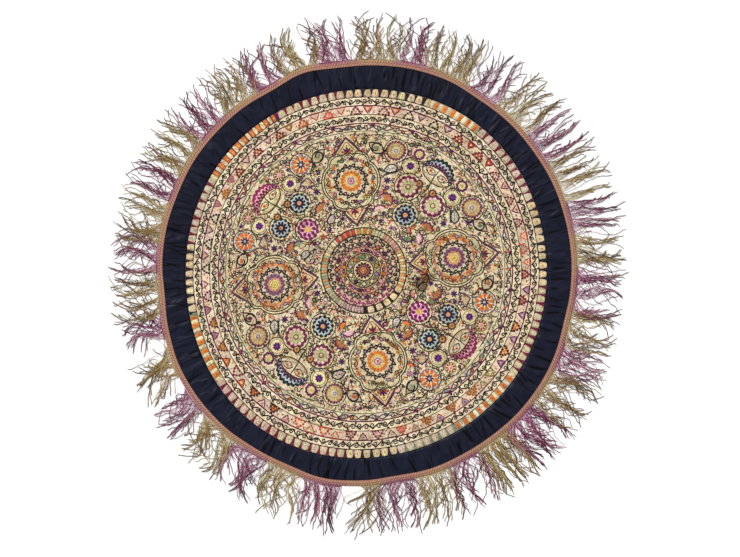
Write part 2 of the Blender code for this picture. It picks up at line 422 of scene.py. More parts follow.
# Columns: where the thread's share starts, its colour
GROUND_FILLS = (
    (0.00, dye(242, 230, 188)),
    (0.22, dye(246, 234, 206)),
    (0.44, dye(224, 220, 172)),
    (0.58, dye(246, 220, 202)),
    (0.70, dye(204, 204, 158)),
    (0.80, dye(232, 208, 154)),
    (0.89, dye(230, 184, 170)),
    (0.95, dye(112, 104, 78)),
)
ground_cloth, ground_shader, tree = new_material("tea coloured cotton", 0.85)
cells = tree.nodes.new("ShaderNodeTexVoronoi")
cells.inputs["Scale"].default_value = FILL_PATCHES
feed(tree, cells.inputs["Vector"], object_place(tree))
pick = tree.nodes.new("ShaderNodeSeparateColor")
feed(tree, pick.inputs["Color"], cells.outputs["Color"])
fills = tree.nodes.new("ShaderNodeValToRGB")
stops = fills.color_ramp.elements
fills.color_ramp.interpolation = "CONSTANT"
for number, (start, colour) in enumerate(GROUND_FILLS):
    stop = stops[number] if number < 2 else stops.new(start)
    stop.position = start
    stop.color = (*colour, 1.0)
feed(tree, fills.inputs["Fac"], pick.outputs["Red"])
fill_colour = fills.outputs["Color"]
work_surface(tree, ground_shader, fill_colour, 0.42, 0.5, Pitch=0.9, Shade=0.4, Streaks=0.5)

points, faces = round_band(GROUND_STEPS, ground_section)
panel_cloth = add_piece("panel_cloth", points, faces, ground_cloth)
add_map(panel_cloth, "OFBake", from_above(points, PANEL_MAP))
add_map(panel_cloth, "Stitch", np.asarray(points)[:, :2] / MM)
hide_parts("panel")


def lay(x, y):
    """Where a place of the pattern lies on the panel: turned, off centre, and fitted to the rim."""
    radius = math.hypot(x, y)
    angle = math.degrees(math.atan2(y, x)) + PATTERN_TURN
    outward = (radius / PATTERN_RADIUS) ** 2
    reach = radius * (1 + (panel_rim(angle) / (PATTERN_RADIUS * MM) - 1) * outward)
    across, up = polar(reach, angle)
    return (across + PATTERN_OFF[0] * (1 - outward)) * MM, (up + PATTERN_OFF[1] * (1 - outward)) * MM


def spot(x, y, radius, angle):
    """The place at this distance and angle from x, y."""
    across, up = polar(radius, angle)
    return x + across, y + up


# How far one length of thread differs from the next: in shade, and in each of its three colours
SKEIN_SHADES = (0.86, 1.18)
SKEIN_TINTS = (0.94, 1.06)
LINE_END = 0.45


class Needlework:
    """Gathers raised stitching for one piece. Sizes and heights are in millimetres."""

    def __init__(self, seed):
        self.points, self.faces, self.colours, self.grains = [], [], [], []
        self.chance = random.Random(seed)

    def start(self, thread):
        """Takes a length of thread: its own slight shade of the colour, and the way that it is stitched."""
        shade = self.chance.uniform(*SKEIN_SHADES)
        self.colour = tuple(min(1.0, part * shade * self.chance.uniform(*SKEIN_TINTS)) for part in thread)
        self.grain = self.chance.uniform(0, math.pi)

    def point(self, x, y, rise):
        """Puts a point on the panel, raised above its ground."""
        across, up = lay(x, y)
        foot = height_at(panel_top, across, up) + GROUND_RISE
        self.points.append((across, up, foot + rise * MM))
        self.colours.append(self.colour)
        turn, sweep = math.cos(self.grain), math.sin(self.grain)
        self.grains.append((x * turn + y * sweep, y * turn - x * sweep))
        return len(self.points) - 1

    def patch(self, outline, thread, low=0.1, high=0.5, crown=0.0, middle=None):
        """Fills an outline. crown is the share of its size that is flat on top, or 0 where it is rounded."""
        self.start(thread)
        count = len(outline)
        if middle is None:
            middle = (sum(x for x, _ in outline) / count, sum(y for _, y in outline) / count)
        rim = [self.point(x, y, low) for x, y in outline]
        if crown:
            hub_x, hub_y = middle
            inset = [(hub_x + (x - hub_x) * crown, hub_y + (y - hub_y) * crown) for x, y in outline]
            inner = [self.point(x, y, high) for x, y in inset]
            for here in range(count):
                after = (here + 1) % count
                self.faces.append((rim[here], rim[after], inner[after], inner[here]))
            rim = inner
        hub = self.point(*middle, high)
        for here in range(count):
            self.faces.append((rim[here], rim[(here + 1) % count], hub))

    def dot(self, x, y, size, thread, low, high, corners=6):
        """Works a small knot or bead."""
        outline = [spot(x, y, size, 360 * corner / corners) for corner in range(corners)]
        self.patch(outline, thread, low, high)

    def loop(self, path, thread, width, low=0.1, high=0.5):
        """Lays a rounded line of stitches that closes on itself."""
        self.line(path, thread, width, low, high, closed=True)

    def line(self, path, thread, width, low=0.1, high=0.5, closed=False):
        """Lays a rounded line of stitches along a path, tapering at free ends."""
        self.start(thread)
        count = len(path)
        rows = []
        for here in range(count):
            before = path[here - 1] if closed or here else path[here]
            after = path[(here + 1) % count] if closed or here < count - 1 else path[here]
            along, up = after[0] - before[0], after[1] - before[1]
            length = math.hypot(along, up) or 1.0
            end = not closed and here in (0, count - 1)
            half = width / 2 * (LINE_END if end else 1.0)
            off_x, off_y = -up / length * half, along / length * half
            x, y = path[here]
            row = ((x + off_x, y + off_y, low), (x, y, high), (x - off_x, y - off_y, low))
            rows.append([self.point(*place) for place in row])
        for here in range(count if closed else count - 1):
            left, right = rows[here], rows[(here + 1) % count]
            self.faces.append((left[1], right[1], right[0], left[0]))
            self.faces.append((left[2], right[2], right[1], left[1]))

    def finish(self, name, material):
        """Makes the piece."""
        piece = add_piece(name, self.points, self.faces, material)
        add_map(piece, "OFBake", from_above(self.points, PANEL_MAP))
        add_map(piece, "Stitch", self.grains)
        add_colours_and_shade(piece, self.colours)


def colour_and_shade(tree):
    """The colour at each point, with painted shade in it where the piece has any."""
    node = tree.nodes.new("ShaderNodeVertexColor")
    node.layer_name = "Thread"
    return node.outputs["Color"]


silk, silk_shader, tree = new_material("silk thread", 0.62)
work_surface(tree, silk_shader, colour_and_shade(tree), 0.35, 0.55, Pitch=0.75, Shade=0.28, Streaks=0.75)


# The squares round the rim: padded satin-stitch squares on a band of dark thread, which shows between them as
# bars. The thread changes from one stretch to the next, as one skein ran out and another was taken up.
SQUARES = 128
SQUARE_IN, SQUARE_OUT = 377.8, 394.6
SQUARE_WIDE, NARROW_WIDE = 14.1, 8.6
SQUARE_TAPER = 0.21
SIDE_SILK = dye(212, 190, 166)
CREAM = dye(240, 222, 178)
BUTTER = dye(234, 218, 168)
PALE_GREEN = dye(206, 212, 168)
ASH = dye(206, 196, 178)
ROSE_GREY = dye(214, 184, 174)
ORANGE = dye(226, 128, 48)
BLACK = dye(38, 30, 26)
MAROON = dye(112, 32, 50)
VIOLET = dye(66, 34, 84)
GREY_GREEN = dye(128, 138, 112)
TEAL_BLUE = dye(112, 148, 146)
PALE_TEAL = dye(158, 182, 158)
GOLD = dye(186, 146, 66)
RUST = dye(170, 88, 52)

# Columns: angle where the stretch starts, body of the squares, streak on their middle, bars. The body lies on
# pale side silk. Orange squares are narrow and have no side silk, but a pale square between each two.
RIM_STRETCHES = (
    (0, BUTTER, GOLD, BLACK),
    (24, ASH, PALE_GREEN, MAROON),
    (51, ORANGE, RUST, PALE_TEAL),
    (70, BUTTER, GOLD, BLACK),
    (97, PALE_GREEN, CREAM, MAROON),
    (119, ORANGE, BUTTER, VIOLET),
    (148, ASH, PALE_GREEN, MAROON),
    (169, BUTTER, CREAM, BLACK),
    (193, ORANGE, RUST, GREY_GREEN),
    (214, ROSE_GREY, PALE_GREEN, MAROON),
    (240, PALE_GREEN, ROSE_GREY, MAROON),
    (262, BUTTER, GOLD, BLACK),
    (281, ASH, BUTTER, GREY_GREEN),
    (301, ORANGE, RUST, TEAL_BLUE),
    (325, PALE_GREEN, BUTTER, MAROON),
    (356, BUTTER, CREAM, BLACK),
)


def stretch_at(stretches, angle, turn=PATTERN_TURN):
    """The row of the table that holds at this angle, in a pattern that is turned by so much."""
    return [row for row in stretches if row[0] <= (angle + turn) % 360][-1]


def arc(radius, start, end, steps):
    """Points along an arc round the middle of the pattern."""
    return [polar(radius, start + (end - start) * step / steps) for step in range(steps + 1)]


def along_ring(radius, angle, across, out):
    """A place near a point of a ring: so far to the left as seen from the middle, and so far out."""
    return polar(radius + out, angle + math.degrees(across / radius))


def rounded(radius, angle, wide, deep, power=4.0, count=14, taper=0.0):
    """A squarish outline on a ring. A high power squares its corners, and a taper narrows its outer side."""
    outline = []
    for step in range(count):
        turn = 2 * math.pi * step / count
        cos, sin = math.cos(turn), math.sin(turn)
        size = (abs(cos) ** power + abs(sin) ** power) ** (-1 / power)
        half = wide / 2 * (1 - taper * sin * size)
        outline.append(along_ring(radius, angle, cos * size * half, sin * size * deep / 2))
    return outline


squares = Needlework(3)
chance = squares.chance
middle_of_squares = (SQUARE_IN + SQUARE_OUT) / 2
step_round = 360 / SQUARES
for number in range(SQUARES):
    angle = number * step_round
    _, body, streak, bar = stretch_at(RIM_STRETCHES, angle)
    backing = arc(SQUARE_IN - 0.5, angle - step_round / 2, angle + step_round / 2, 3)
    backing += reversed(arc(SQUARE_OUT, angle - step_round / 2, angle + step_round / 2, 3))
    squares.patch(backing, bar, low=0.15, high=0.2)
    narrow = body == ORANGE
    place = angle + chance.uniform(-0.2, 0.2)
    wide = (NARROW_WIDE if narrow else SQUARE_WIDE) + chance.uniform(-1.6, 1.0)
    deep = SQUARE_OUT - SQUARE_IN - chance.uniform(0.0, 1.4)
    out = middle_of_squares + chance.uniform(-0.4, 0.4)
    if narrow:
        squares.patch(rounded(out, place, wide, deep, 6.0), body, 0.2, 0.9, 0.72)
        squares.patch(rounded(out - 0.6, place, 4.2, 5.0, 2.0, 8), streak, 0.85, 1.05)
        squares.patch(rounded(out, angle + step_round / 2, 8.0, deep, 6.0), CREAM, 0.2, 0.8, 0.7)
    else:
        tilted = place + chance.uniform(-0.15, 0.15)
        sides = rounded(out, place, wide, deep, 7.0, 18, SQUARE_TAPER)
        squares.patch(sides, SIDE_SILK, 0.2, 0.7, 0.8)
        squares.patch(rounded(out, tilted, wide * 0.6, deep * 0.92, 5.0), body, 0.5, 0.95, 0.7)
        squares.patch(rounded(out, tilted, 3.0, deep * 0.66, 2.4, 8), streak, 0.9, 1.1)
        knot = along_ring(middle_of_squares, angle + step_round / 2, 0, 5.6)
        squares.dot(*knot, 3.0, bar, 0.3, 1.05)
squares.finish("rim_squares", silk)


# The rows inside the squares. Five couched lines part a dark scroll, a row of hanging triangles and tents of
# beads, a second dark scroll and a green vine. All are stitched in silk on the panel.
GREEN_BLACK = dye(52, 50, 36)
PLUM = dye(96, 32, 72)
SAGE = dye(128, 142, 104)
PEACH = dye(240, 200, 160)
SALMON = dye(226, 144, 120)
RED = dye(204, 70, 52)
MAUVE = dye(160, 122, 158)
OLIVE = dye(124, 118, 60)
PALE_YELLOW = dye(242, 228, 168)
TEAL = dye(70, 120, 114)
LAVENDER = dye(176, 162, 186)
MAGENTA = dye(146, 50, 100)
PINK = dye(228, 164, 180)

# Columns: radius, width, thread
ROW_LINES = (
    (377.2, 1.6, GREEN_BLACK),
    (358.8, 2.6, PLUM),
    (339.2, 1.7, dye(78, 84, 60)),
    (319.6, 2.8, dye(104, 34, 62)),
    (303.2, 2.0, dye(112, 122, 88)),
)
# Columns: inner and outer radius, thread of the filled ground
ROW_GROUNDS = (
    (359.0, 377.0, dye(244, 228, 196)),
    (339.4, 358.6, dye(236, 215, 188)),
    (319.8, 339.0, dye(244, 228, 194)),
    (303.2, 319.4, dye(232, 220, 190)),
)
GROUND_PIECES = 150
# Columns: middle radius, half height, number of waves
DARK_SCROLLS = (
    (368.0, 6.4, 82),
    (329.4, 6.6, 74),
)
SCROLL_THREAD = dye(38, 28, 26)
SCROLL_WIDTH = 2.9
FLOWER_ROW = 349.2
FLOWER_PLACES = 76
FLOWER_LEAVES = (OLIVE, BLACK, RUST, MAROON, ORANGE, GOLD, PLUM)
# Corners: how far across from the place in the row, and how far out
TRIANGLE = ((-9.8, 8.6), (9.8, 8.6), (5.4, 1.4), (0.0, -5.8), (-5.4, 1.4))
TENT = ((-10.5, -8.2), (10.5, -8.2), (8.6, -2.6), (4.6, 2.4), (0.0, 6.6), (-4.6, 2.4), (-8.6, -2.6))
TENT_FOOT = ((-4.4, -8.4), (1.6, -8.4))
TENT_EYES = ((-3.6, -4.4), (3.6, -4.4), (0.0, 0.6))
VINE_ROW = 311.4
VINE_WAVES = 46
VINE_LEAVES = 138
VINE_DIAMOND = ((-5.6, 7.0), (0, 8.4), (5.6, 7.0), (0, 0.5))
VINE_THREADS = (
    SAGE, PALE_GREEN, CREAM, TEAL_BLUE, SALMON, PALE_GREEN, CREAM, OLIVE, LAVENDER, ORANGE
)
# Columns: angle where the stretch starts, hanging triangle, tent of beads, their middles, their edges
FLOWER_STRETCHES = (
    (0, PEACH, PALE_TEAL, SALMON, RED),
    (18, ROSE_GREY, ASH, RUST, MAROON),
    (38, RED, RUST, PEACH, MAROON),
    (57, ROSE_GREY, CREAM, ASH, BLACK),
    (77, SALMON, ROSE_GREY, CREAM, MAROON),
    (95, ASH, SALMON, PEACH, RED),
    (110, GOLD, SALMON, CREAM, RUST),
    (120, ROSE_GREY, RUST, CREAM, MAROON),
    (142, MAUVE, GOLD, RUST, RUST),
    (160, ROSE_GREY, ASH, CREAM, BLACK),
    (180, ROSE_GREY, ASH, PINK, MAROON),
    (192, MAUVE, GOLD, RUST, MAROON),
    (208, ORANGE, ROSE_GREY, CREAM, MAROON),
    (226, ROSE_GREY, RUST, ORANGE, BLACK),
    (243, PALE_GREEN, CREAM, PEACH, RED),
    (260, ASH, ROSE_GREY, RUST, MAROON),
    (282, PALE_TEAL, SALMON, RED, RUST),
    (290, LAVENDER, GOLD, PLUM, RUST),
    (316, ASH, BUTTER, GOLD, OLIVE),
    (325, MAUVE, ORANGE, PEACH, BLACK),
    (344, MAUVE, RUST, ROSE_GREY, MAROON),
)


def ring_line(work, radius, thread, width, steps=240, low=0.15, high=0.75):
    """A couched line all round, with the slight waver of handwork."""
    waver = work.chance.uniform
    path = [polar(radius + waver(-0.35, 0.35), 360 * step / steps) for step in range(steps)]
    work.loop(path, thread, width, low, high)


def wavy(radius, swing, waves, steps_to_wave=8):
    """A path all round that swings in and out."""
    path = []
    for step in range(waves * steps_to_wave):
        out = swing * math.sin(2 * math.pi * step / steps_to_wave)
        path.append(polar(radius + out, 360 * step / (waves * steps_to_wave)))
    return path


def curl(x, y, size, start, turns, steps=9):
    """A small spiral that winds in from its rim."""
    shares = [step / steps for step in range(steps + 1)]
    return [spot(x, y, size * (1 - 0.75 * share), start + 360 * turns * share) for share in shares]


def leaf(x, y, length, width, angle, steps=3, lean=0.8):
    """A pointed leaf that grows from x, y. It is widest near its foot, or near its tip if lean is over 1."""
    left, right = [], []
    for step in range(steps + 1):
        share = step / steps
        swell = width / 2 * math.sin(math.pi * share**lean)
        along = spot(x, y, length * share, angle)
        left.append(spot(*along, swell, angle + 90))
        right.append(spot(*along, swell, angle - 90))
    return left + right[-2:0:-1]


rows = Needlework(11)
chance = rows.chance
for near, far, thread in ROW_GROUNDS:
    for number in range(GROUND_PIECES):
        start = 360 * number / GROUND_PIECES
        end = start + 360 / GROUND_PIECES
        rows.patch(arc(near, start, end, 2) + arc(far, end, start, 2), thread, low=0.12, high=0.16)
for radius, width, thread in ROW_LINES:
    ring_line(rows, radius, thread, width)

for radius, reach, waves in DARK_SCROLLS:
    rows.loop(wavy(radius, 0.6 * reach, waves), SCROLL_THREAD, SCROLL_WIDTH, 0.18, 0.6)
    for number in range(waves * 2):
        angle = 360 * (number + 0.5) / (2 * waves)
        side = 1 if number % 2 else -1
        lobe = polar(radius + side * 0.22 * reach, angle)
        facing = angle + (180 if side > 0 else 0) + chance.uniform(-25, 25)
        size = reach * chance.uniform(0.66, 0.84)
        path = curl(*lobe, size, facing, chance.choice((1.15, -1.15, 1.3, -1.3)), 8)
        rows.line(path, SCROLL_THREAD, SCROLL_WIDTH * 0.85, 0.2, 0.66)
        bud = polar(radius - side * 0.8 * reach, angle + chance.uniform(-0.5, 0.5))
        rows.patch(leaf(*bud, 7.0, 4.6, angle + 90 + chance.uniform(-50, 50)), SCROLL_THREAD, 0.18, 0.6)

for number in range(FLOWER_PLACES):
    angle = 360 * (number + chance.uniform(-0.12, 0.12)) / FLOWER_PLACES
    _, triangle, tent, eye, edge = stretch_at(FLOWER_STRETCHES, angle)
    size = chance.uniform(0.88, 1.08)
    shape = TRIANGLE if number % 2 else TENT
    corners = [along_ring(FLOWER_ROW, angle, across * size, out) for across, out in shape]
    rows.patch(corners, triangle if number % 2 else tent, 0.2, 0.6, 0.7)
    if number % 2:
        rows.loop(corners, PLUM if edge == BLACK else edge, 3.4, 0.3, 0.9)
        rows.patch(rounded(FLOWER_ROW + 3.5, angle, 5.0, 4.6, 2.0, 6), eye, 0.6, 1.0)
    else:
        for across, out in TENT + TENT_FOOT:
            rows.dot(*along_ring(FLOWER_ROW, angle, across * size, out), 2.9, edge, 0.5, 1.0)
        for across, out in TENT_EYES:
            rows.dot(*along_ring(FLOWER_ROW, angle, across, out), 1.9, eye, 0.6, 1.0)
    for side in (-1, 1):
        x, y = along_ring(FLOWER_ROW, angle, side * chance.uniform(11, 14), chance.uniform(-6, 5))
        thread = chance.choice(FLOWER_LEAVES)
        rows.patch(leaf(x, y, chance.uniform(3, 6), 3.2, chance.uniform(0, 360)), thread, 0.2, 0.55)

steps = VINE_WAVES * 8
for thread, swing, shift in ((GREEN_BLACK, 5.4, 0.0), (PLUM, 4.6, 2.4)):
    stem = []
    for step in range(steps):
        out = swing * math.sin(2 * math.pi * step / 8 + shift) * chance.uniform(0.75, 1.15)
        stem.append(polar(VINE_ROW + out, 360 * step / steps))
    rows.loop(stem, thread, 2.5, 0.18, 0.65)
for number in range(VINE_LEAVES):
    angle = 360 * (number + chance.uniform(-0.3, 0.3)) / VINE_LEAVES
    side = 1 if number % 2 else -1
    x, y = polar(VINE_ROW - side * 5.5, angle)
    thread = chance.choice(VINE_THREADS)
    shape = leaf(x, y, chance.uniform(9, 13), chance.uniform(4.5, 6.5), angle + 90 - side * 52)
    rows.patch(shape, thread, 0.2, 0.75)
    if number % 3:
        edge = chance.choice((GREEN_BLACK, GREEN_BLACK, PLUM, BLACK))
        rows.loop(shape, edge, 2.4, 0.3, 0.85)
    if number % 6 == 0:
        diamond = [along_ring(VINE_ROW, angle, *corner) for corner in VINE_DIAMOND]
        rows.patch(diamond, chance.choice((PLUM, VIOLET, MAGENTA, PLUM)), 0.4, 0.95)
    if number % 3 == 0:
        x, y = along_ring(VINE_ROW, angle, chance.uniform(3, 6), chance.uniform(-6, 4))
        rows.dot(x, y, 2.8, chance.choice((RUST, RED, VIOLET, TEAL)), 0.4, 0.9, corners=5)
rows.finish("rim_rows", silk)


# The roundel in the middle: rings of small stitched blocks, a dark scroll, a leaf band, a peach band and
# small flowers, round a maroon rosette with an orange eye. All are silk on the panel.
# Columns: radius, width, thread
ROUNDEL_LINES = (
    (92.2, 2.5, GREEN_BLACK),
    (77.4, 2.5, GREEN_BLACK),
    (50.8, 2.3, dye(126, 40, 76)),
    (36.4, 2.5, GREEN_BLACK),
    (22.0, 2.4, GREEN_BLACK),
)
# Columns: inner and outer radius, thread
ROUNDEL_GROUNDS = (
    (64.5, 77.2, dye(228, 206, 176)),
    (50.8, 64.5, dye(196, 166, 134)),
    (36.6, 50.6, dye(222, 186, 148)),
    (22.0, 36.2, dye(190, 174, 132)),
    (0.0, 22.0, dye(230, 206, 160)),
)
BLOCKS = 84
BLOCK_IN, BLOCK_ROW, BLOCK_OUT = 78.0, 84.8, 91.5
SCROLL_RING, SCROLL_CURLS = 70.8, 48
ZIGZAG = (52.5, 57.75, 63.0, 57.75)
LEAF_RING, LEAF_PLACES = 53.0, 18
WAVE_RING, WAVE_FLOWERS = 43.4, 16
EYE_RING = 29.2
HEART_SIZE = 18.8
LEVEL_FOOT, LEVEL_TOP, LEVEL_STEP = 0.25, 0.55, 0.2
WAVE_THREADS = (GOLD, PLUM, ROSE_GREY, BUTTER, SALMON, ORANGE, MAUVE, PALE_GREEN)
EYE_THREADS = (GOLD, VIOLET, SAGE, ORANGE, ROSE_GREY, CREAM, VIOLET, PALE_GREEN, BUTTER, MAUVE)
# A rosette's levels: kind, share of its radius, lobes or a hoop's width, thread
HEART = (
    ("petals", 1.0, 14, dye(42, 10, 22)),
    ("round", 0.74, 14, dye(84, 30, 46)),
    ("petals", 0.70, 14, dye(160, 104, 98)),
    ("round", 0.42, 0, dye(224, 150, 100)),
    ("hoop", 0.42, 1.8, dye(84, 34, 36)),
    ("hoop", 0.20, 1.5, dye(150, 70, 50)),
    ("round", 0.12, 0, dye(226, 170, 110)),
)
# Columns: angle where the stretch starts, the two threads by turns, bars
BLOCK_STRETCHES = (
    (0, dye(222, 172, 116), CREAM, OLIVE),
    (30, ROSE_GREY, dye(186, 148, 128), RUST),
    (58, PALE_GREEN, ASH, OLIVE),
    (72, ORANGE, PALE_GREEN, OLIVE),
    (102, RED, dye(214, 136, 104), MAROON),
    (122, RED, PALE_GREEN, MAROON),
    (132, CREAM, ASH, OLIVE),
    (160, dye(214, 146, 90), dye(172, 178, 146), OLIVE),
    (190, dye(168, 170, 152), dye(210, 152, 98), OLIVE),
    (206, dye(200, 192, 162), dye(174, 168, 138), OLIVE),
    (234, dye(196, 168, 166), dye(208, 186, 164), PLUM),
    (268, CREAM, BUTTER, BLACK),
    (334, dye(226, 160, 96), BUTTER, OLIVE),
)


def disc_ring(work, x, y, near, far, thread, pieces, low=0.12, high=0.18):
    """A ring filled in pieces, each with its own length of thread."""
    for number in range(pieces):
        start, end = 360 * number / pieces, 360 * (number + 1) / pieces
        outline = [spot(x, y, far, start), spot(x, y, far, (start + end) / 2), spot(x, y, far, end)]
        if near > 0:
            outline += [spot(x, y, near, end), spot(x, y, near, (start + end) / 2), spot(x, y, near, start)]
        else:
            outline += [(x, y)]
        work.patch(outline, thread, low, high)


def scallop(x, y, radius, lobes, depth, turn=0.0, steps=5):
    """The outline of a round with rounded lobes, or a plain round where lobes is 0."""
    if not lobes:
        return [spot(x, y, radius, 18 * step + turn) for step in range(20)]
    outline = []
    for step in range(lobes * steps):
        angle = 360 * step / (lobes * steps)
        swell = abs(math.sin(math.radians(lobes * angle / 2)))
        outline.append(spot(x, y, radius * (1 - depth * (1 - swell)), angle + turn))
    return outline


def rosette(work, x, y, radius, turn, levels):
    """A flower of stacked rounds and petals, from the lowest level to the highest."""
    for level, (kind, share, lobes, thread) in enumerate(levels):
        low, high, size = LEVEL_FOOT + LEVEL_STEP * level, LEVEL_TOP + LEVEL_STEP * level, radius * share
        if kind == "round":
            work.patch(scallop(x, y, size, lobes, 0.13, turn), thread, low, high, 0.8, (x, y))
        elif kind == "hoop":
            path = [spot(x, y, size, 360 * step / 28) for step in range(28)]
            work.loop(path, thread, lobes, low, high + 0.1)
        else:
            for number in range(lobes):
                angle = turn + 360 * number / lobes
                if kind == "petals":
                    angle = turn + 360 * (number + 0.5) / lobes
                    foot = spot(x, y, size * 0.28, angle)
                    petal = leaf(*foot, size * 0.72, 4.7 * size / lobes, angle, 4, 1.6)
                    work.patch(petal, thread, low, high + 0.15)
                elif kind == "star":
                    petal = leaf(x, y, size, 3.2 * size / lobes, angle, 3, 1.0)
                    work.patch(petal, thread, low, high + 0.15)
                else:
                    work.dot(*spot(x, y, size, angle), radius * 0.09, thread, low, high, corners=5)


roundel = Needlework(23)
for near, far, thread in ROUNDEL_GROUNDS:
    disc_ring(roundel, 0, 0, near, far, thread, 36)
half_step = 180 / BLOCKS
for number in range(BLOCKS):
    angle = 360 * (number + 0.5) / BLOCKS
    _, first, second, bar = stretch_at(BLOCK_STRETCHES, angle)
    band = arc(BLOCK_IN, angle - half_step, angle + half_step, 2)
    band += arc(BLOCK_OUT, angle + half_step, angle - half_step, 2)
    roundel.patch(band, bar, 0.2, 0.25)
    thread = second if number % 2 else first
    if bar != BLACK:
        wide = 5.6 + roundel.chance.uniform(-0.6, 0.4)
        roundel.patch(rounded(BLOCK_ROW, angle, wide, 12.8, 4.0, 10), thread, 0.25, 0.75, 0.72)
    elif number % 3 == 0:
        roundel.patch(rounded(BLOCK_ROW, angle, 13.4, 13.0, 7.0, 16), thread, 0.25, 0.75, 0.72)
for radius, width, thread in ROUNDEL_LINES:
    ring_line(roundel, radius, thread, width, round(radius * 1.2), 0.2, 0.95)
for number in range(SCROLL_CURLS):
    angle = 360 * number / SCROLL_CURLS
    side = 1 if number % 2 else -1
    thread = MAGENTA if 215 < (angle + PATTERN_TURN) % 360 < 325 else SCROLL_THREAD
    path = curl(*polar(SCROLL_RING + side * 1.4, angle), 4.7, angle + 90 + 90 * side, 1.3 * side)
    roundel.line(path, thread, 2.8, 0.2, 0.9)
    foot = polar(SCROLL_RING - side * 3.8, angle + 3.5)
    roundel.patch(leaf(*foot, 6.8, 4.3, angle + 90 + 30 * side), thread, 0.2, 0.7)
    if number % 3 == 0:
        foot = polar(SCROLL_RING - side * 2.0, angle + 4.0)
        roundel.patch(leaf(*foot, 4.4, 3.2, angle + 90 * side), VIOLET, 0.2, 0.7)
for thread, shift in ((PLUM, 0), (GREEN_BLACK, 2)):
    path = [polar(ZIGZAG[(step + shift) % 4], 5 * step) for step in range(72)]
    roundel.loop(path, thread, 2.9, 0.4, 1.1)
for number in range(LEAF_PLACES):
    angle = 20 * number
    for turn, threads in ((10, (SAGE, VIOLET, ORANGE, PLUM, TEAL, ASH)), (0, (PALE_TEAL, ROSE_GREY, BUTTER))):
        shape = leaf(*polar(LEAF_RING, angle + turn), 9.0, 6.5, angle + turn)
        roundel.patch(shape, threads[number % len(threads)], 0.3, 0.85)
    shape = leaf(*polar(LEAF_RING + 4.5, angle + 5), 5.0, 4.0, angle + 5)
    roundel.patch(shape, (RUST, MAROON, VIOLET)[number % 3], 0.3, 0.9)
roundel.loop(wavy(WAVE_RING, 3.6, 16, 6), PLUM, 2.0, 0.2, 0.7)
for number in range(WAVE_FLOWERS):
    angle = 22.5 * number + 5
    x, y = polar(WAVE_RING, angle)
    for petal in range(4):
        facing = angle + 45 + 90 * petal
        roundel.patch(leaf(x, y, 6.8, 5.8, facing), (MAROON, BLACK)[number % 2], 0.3, 0.6)
        roundel.patch(leaf(x, y, 4.8, 4.2, facing), WAVE_THREADS[number * 3 % 8], 0.6, 1.0)
    path = curl(*polar(WAVE_RING, angle + 11), 4.0, angle, 1.2, 7)
    roundel.line(path, (GREEN_BLACK, PLUM)[number % 2], 2.4, 0.3, 0.9)
for number, thread in enumerate(EYE_THREADS):
    angle = 36 * number + 12
    x, y = polar(EYE_RING, angle)
    roundel.patch(scallop(x, y, 6.0, 6, 0.2), GREEN_BLACK, 0.2, 0.6, 0.8)
    roundel.dot(x, y, 3.9, thread, 0.6, 0.9)
    shape = leaf(*polar(24.5, angle + 18), 9.5, 5.0, angle + 18)
    roundel.patch(shape, (SAGE, PALE_GREEN)[number % 2], 0.2, 0.7)
    roundel.loop(shape, GREEN_BLACK, 1.6, 0.3, 0.85)
rosette(roundel, 0, 0, HEART_SIZE, 5.0, HEART)
roundel.finish("roundel", silk)


# Four medallions at the quarter points, each a silk rosette in a scroll ring, inside a lobed frame of two
# couched lines. A plum kite with a palmette points from each frame to the middle and to the rim.
MEDALLION_AT = 195.7
FRAME_SIZE = 61.0
FRAME_GAP = 5.0
LOBE_DIP = 0.10
SPRIG_RING, SPRIGS = 47.0, 30
HOOP_RING, HOOP_LEAVES = 42.0, 34
CURL_RING, CURLS = 32.0, 24
DISC_IN, DISC_OUT = 24.0, 38.8
MIDDLE_SIZE = 25.4
# Columns: angle of the lobe's middle, half its spread, share of the frame's size
FRAME_LOBES = (
    (0, 12, 1.02),
    (29, 17, 1.12),
    (90, 45, 1.03),
    (151, 17, 1.12),
    (180, 12, 1.02),
    (209, 17, 1.12),
    (270, 45, 1.03),
    (331, 17, 1.12),
)
KITE_TIP, KITE_FOOT, KITE_HALF = 96.0, 58.0, 31.0
KITE_SHOULDER = (81.0, 13.5)
FRAME_LINE = dye(48, 44, 30)
KITE_LINE = dye(88, 56, 82)
KITE_GROUND = dye(230, 206, 152)
FRAME_GROUND = dye(234, 226, 184)
INNER_GROUND = dye(226, 210, 172)
LILAC_GREY = dye(176, 164, 172)
SUN_ORANGE = dye(222, 138, 46)
SUN_YELLOW = dye(220, 178, 74)
PALE_SILVER = dye(208, 204, 186)
HOOP_THREADS = (
    dye(204, 128, 70),
    dye(218, 154, 102),
    dye(184, 106, 58),
    dye(210, 142, 84),
    dye(186, 134, 92),
)
SUN = (
    ("round", 1.0, 22, LILAC_GREY),
    ("round", 0.93, 18, SUN_ORANGE),
    ("petals", 0.92, 18, dye(214, 118, 44)),
    ("round", 0.66, 16, SUN_YELLOW),
    ("petals", 0.64, 16, dye(232, 196, 104)),
    ("round", 0.46, 12, PALE_SILVER),
    ("hoop", 0.27, 2.4, dye(150, 40, 90)),
    ("round", 0.20, 0, dye(232, 190, 196)),
    ("round", 0.11, 0, dye(206, 50, 60)),
)
DUSK = (
    ("round", 1.04, 18, dye(150, 132, 150)),
    ("petals", 1.0, 16, dye(112, 62, 100)),
    ("round", 0.86, 16, dye(126, 78, 112)),
    ("round", 0.66, 12, dye(222, 184, 144)),
    ("petals", 0.66, 12, dye(212, 156, 118)),
    ("round", 0.42, 10, dye(232, 208, 128)),
    ("hoop", 0.26, 1.6, OLIVE),
    ("round", 0.15, 0, dye(214, 190, 90)),
)


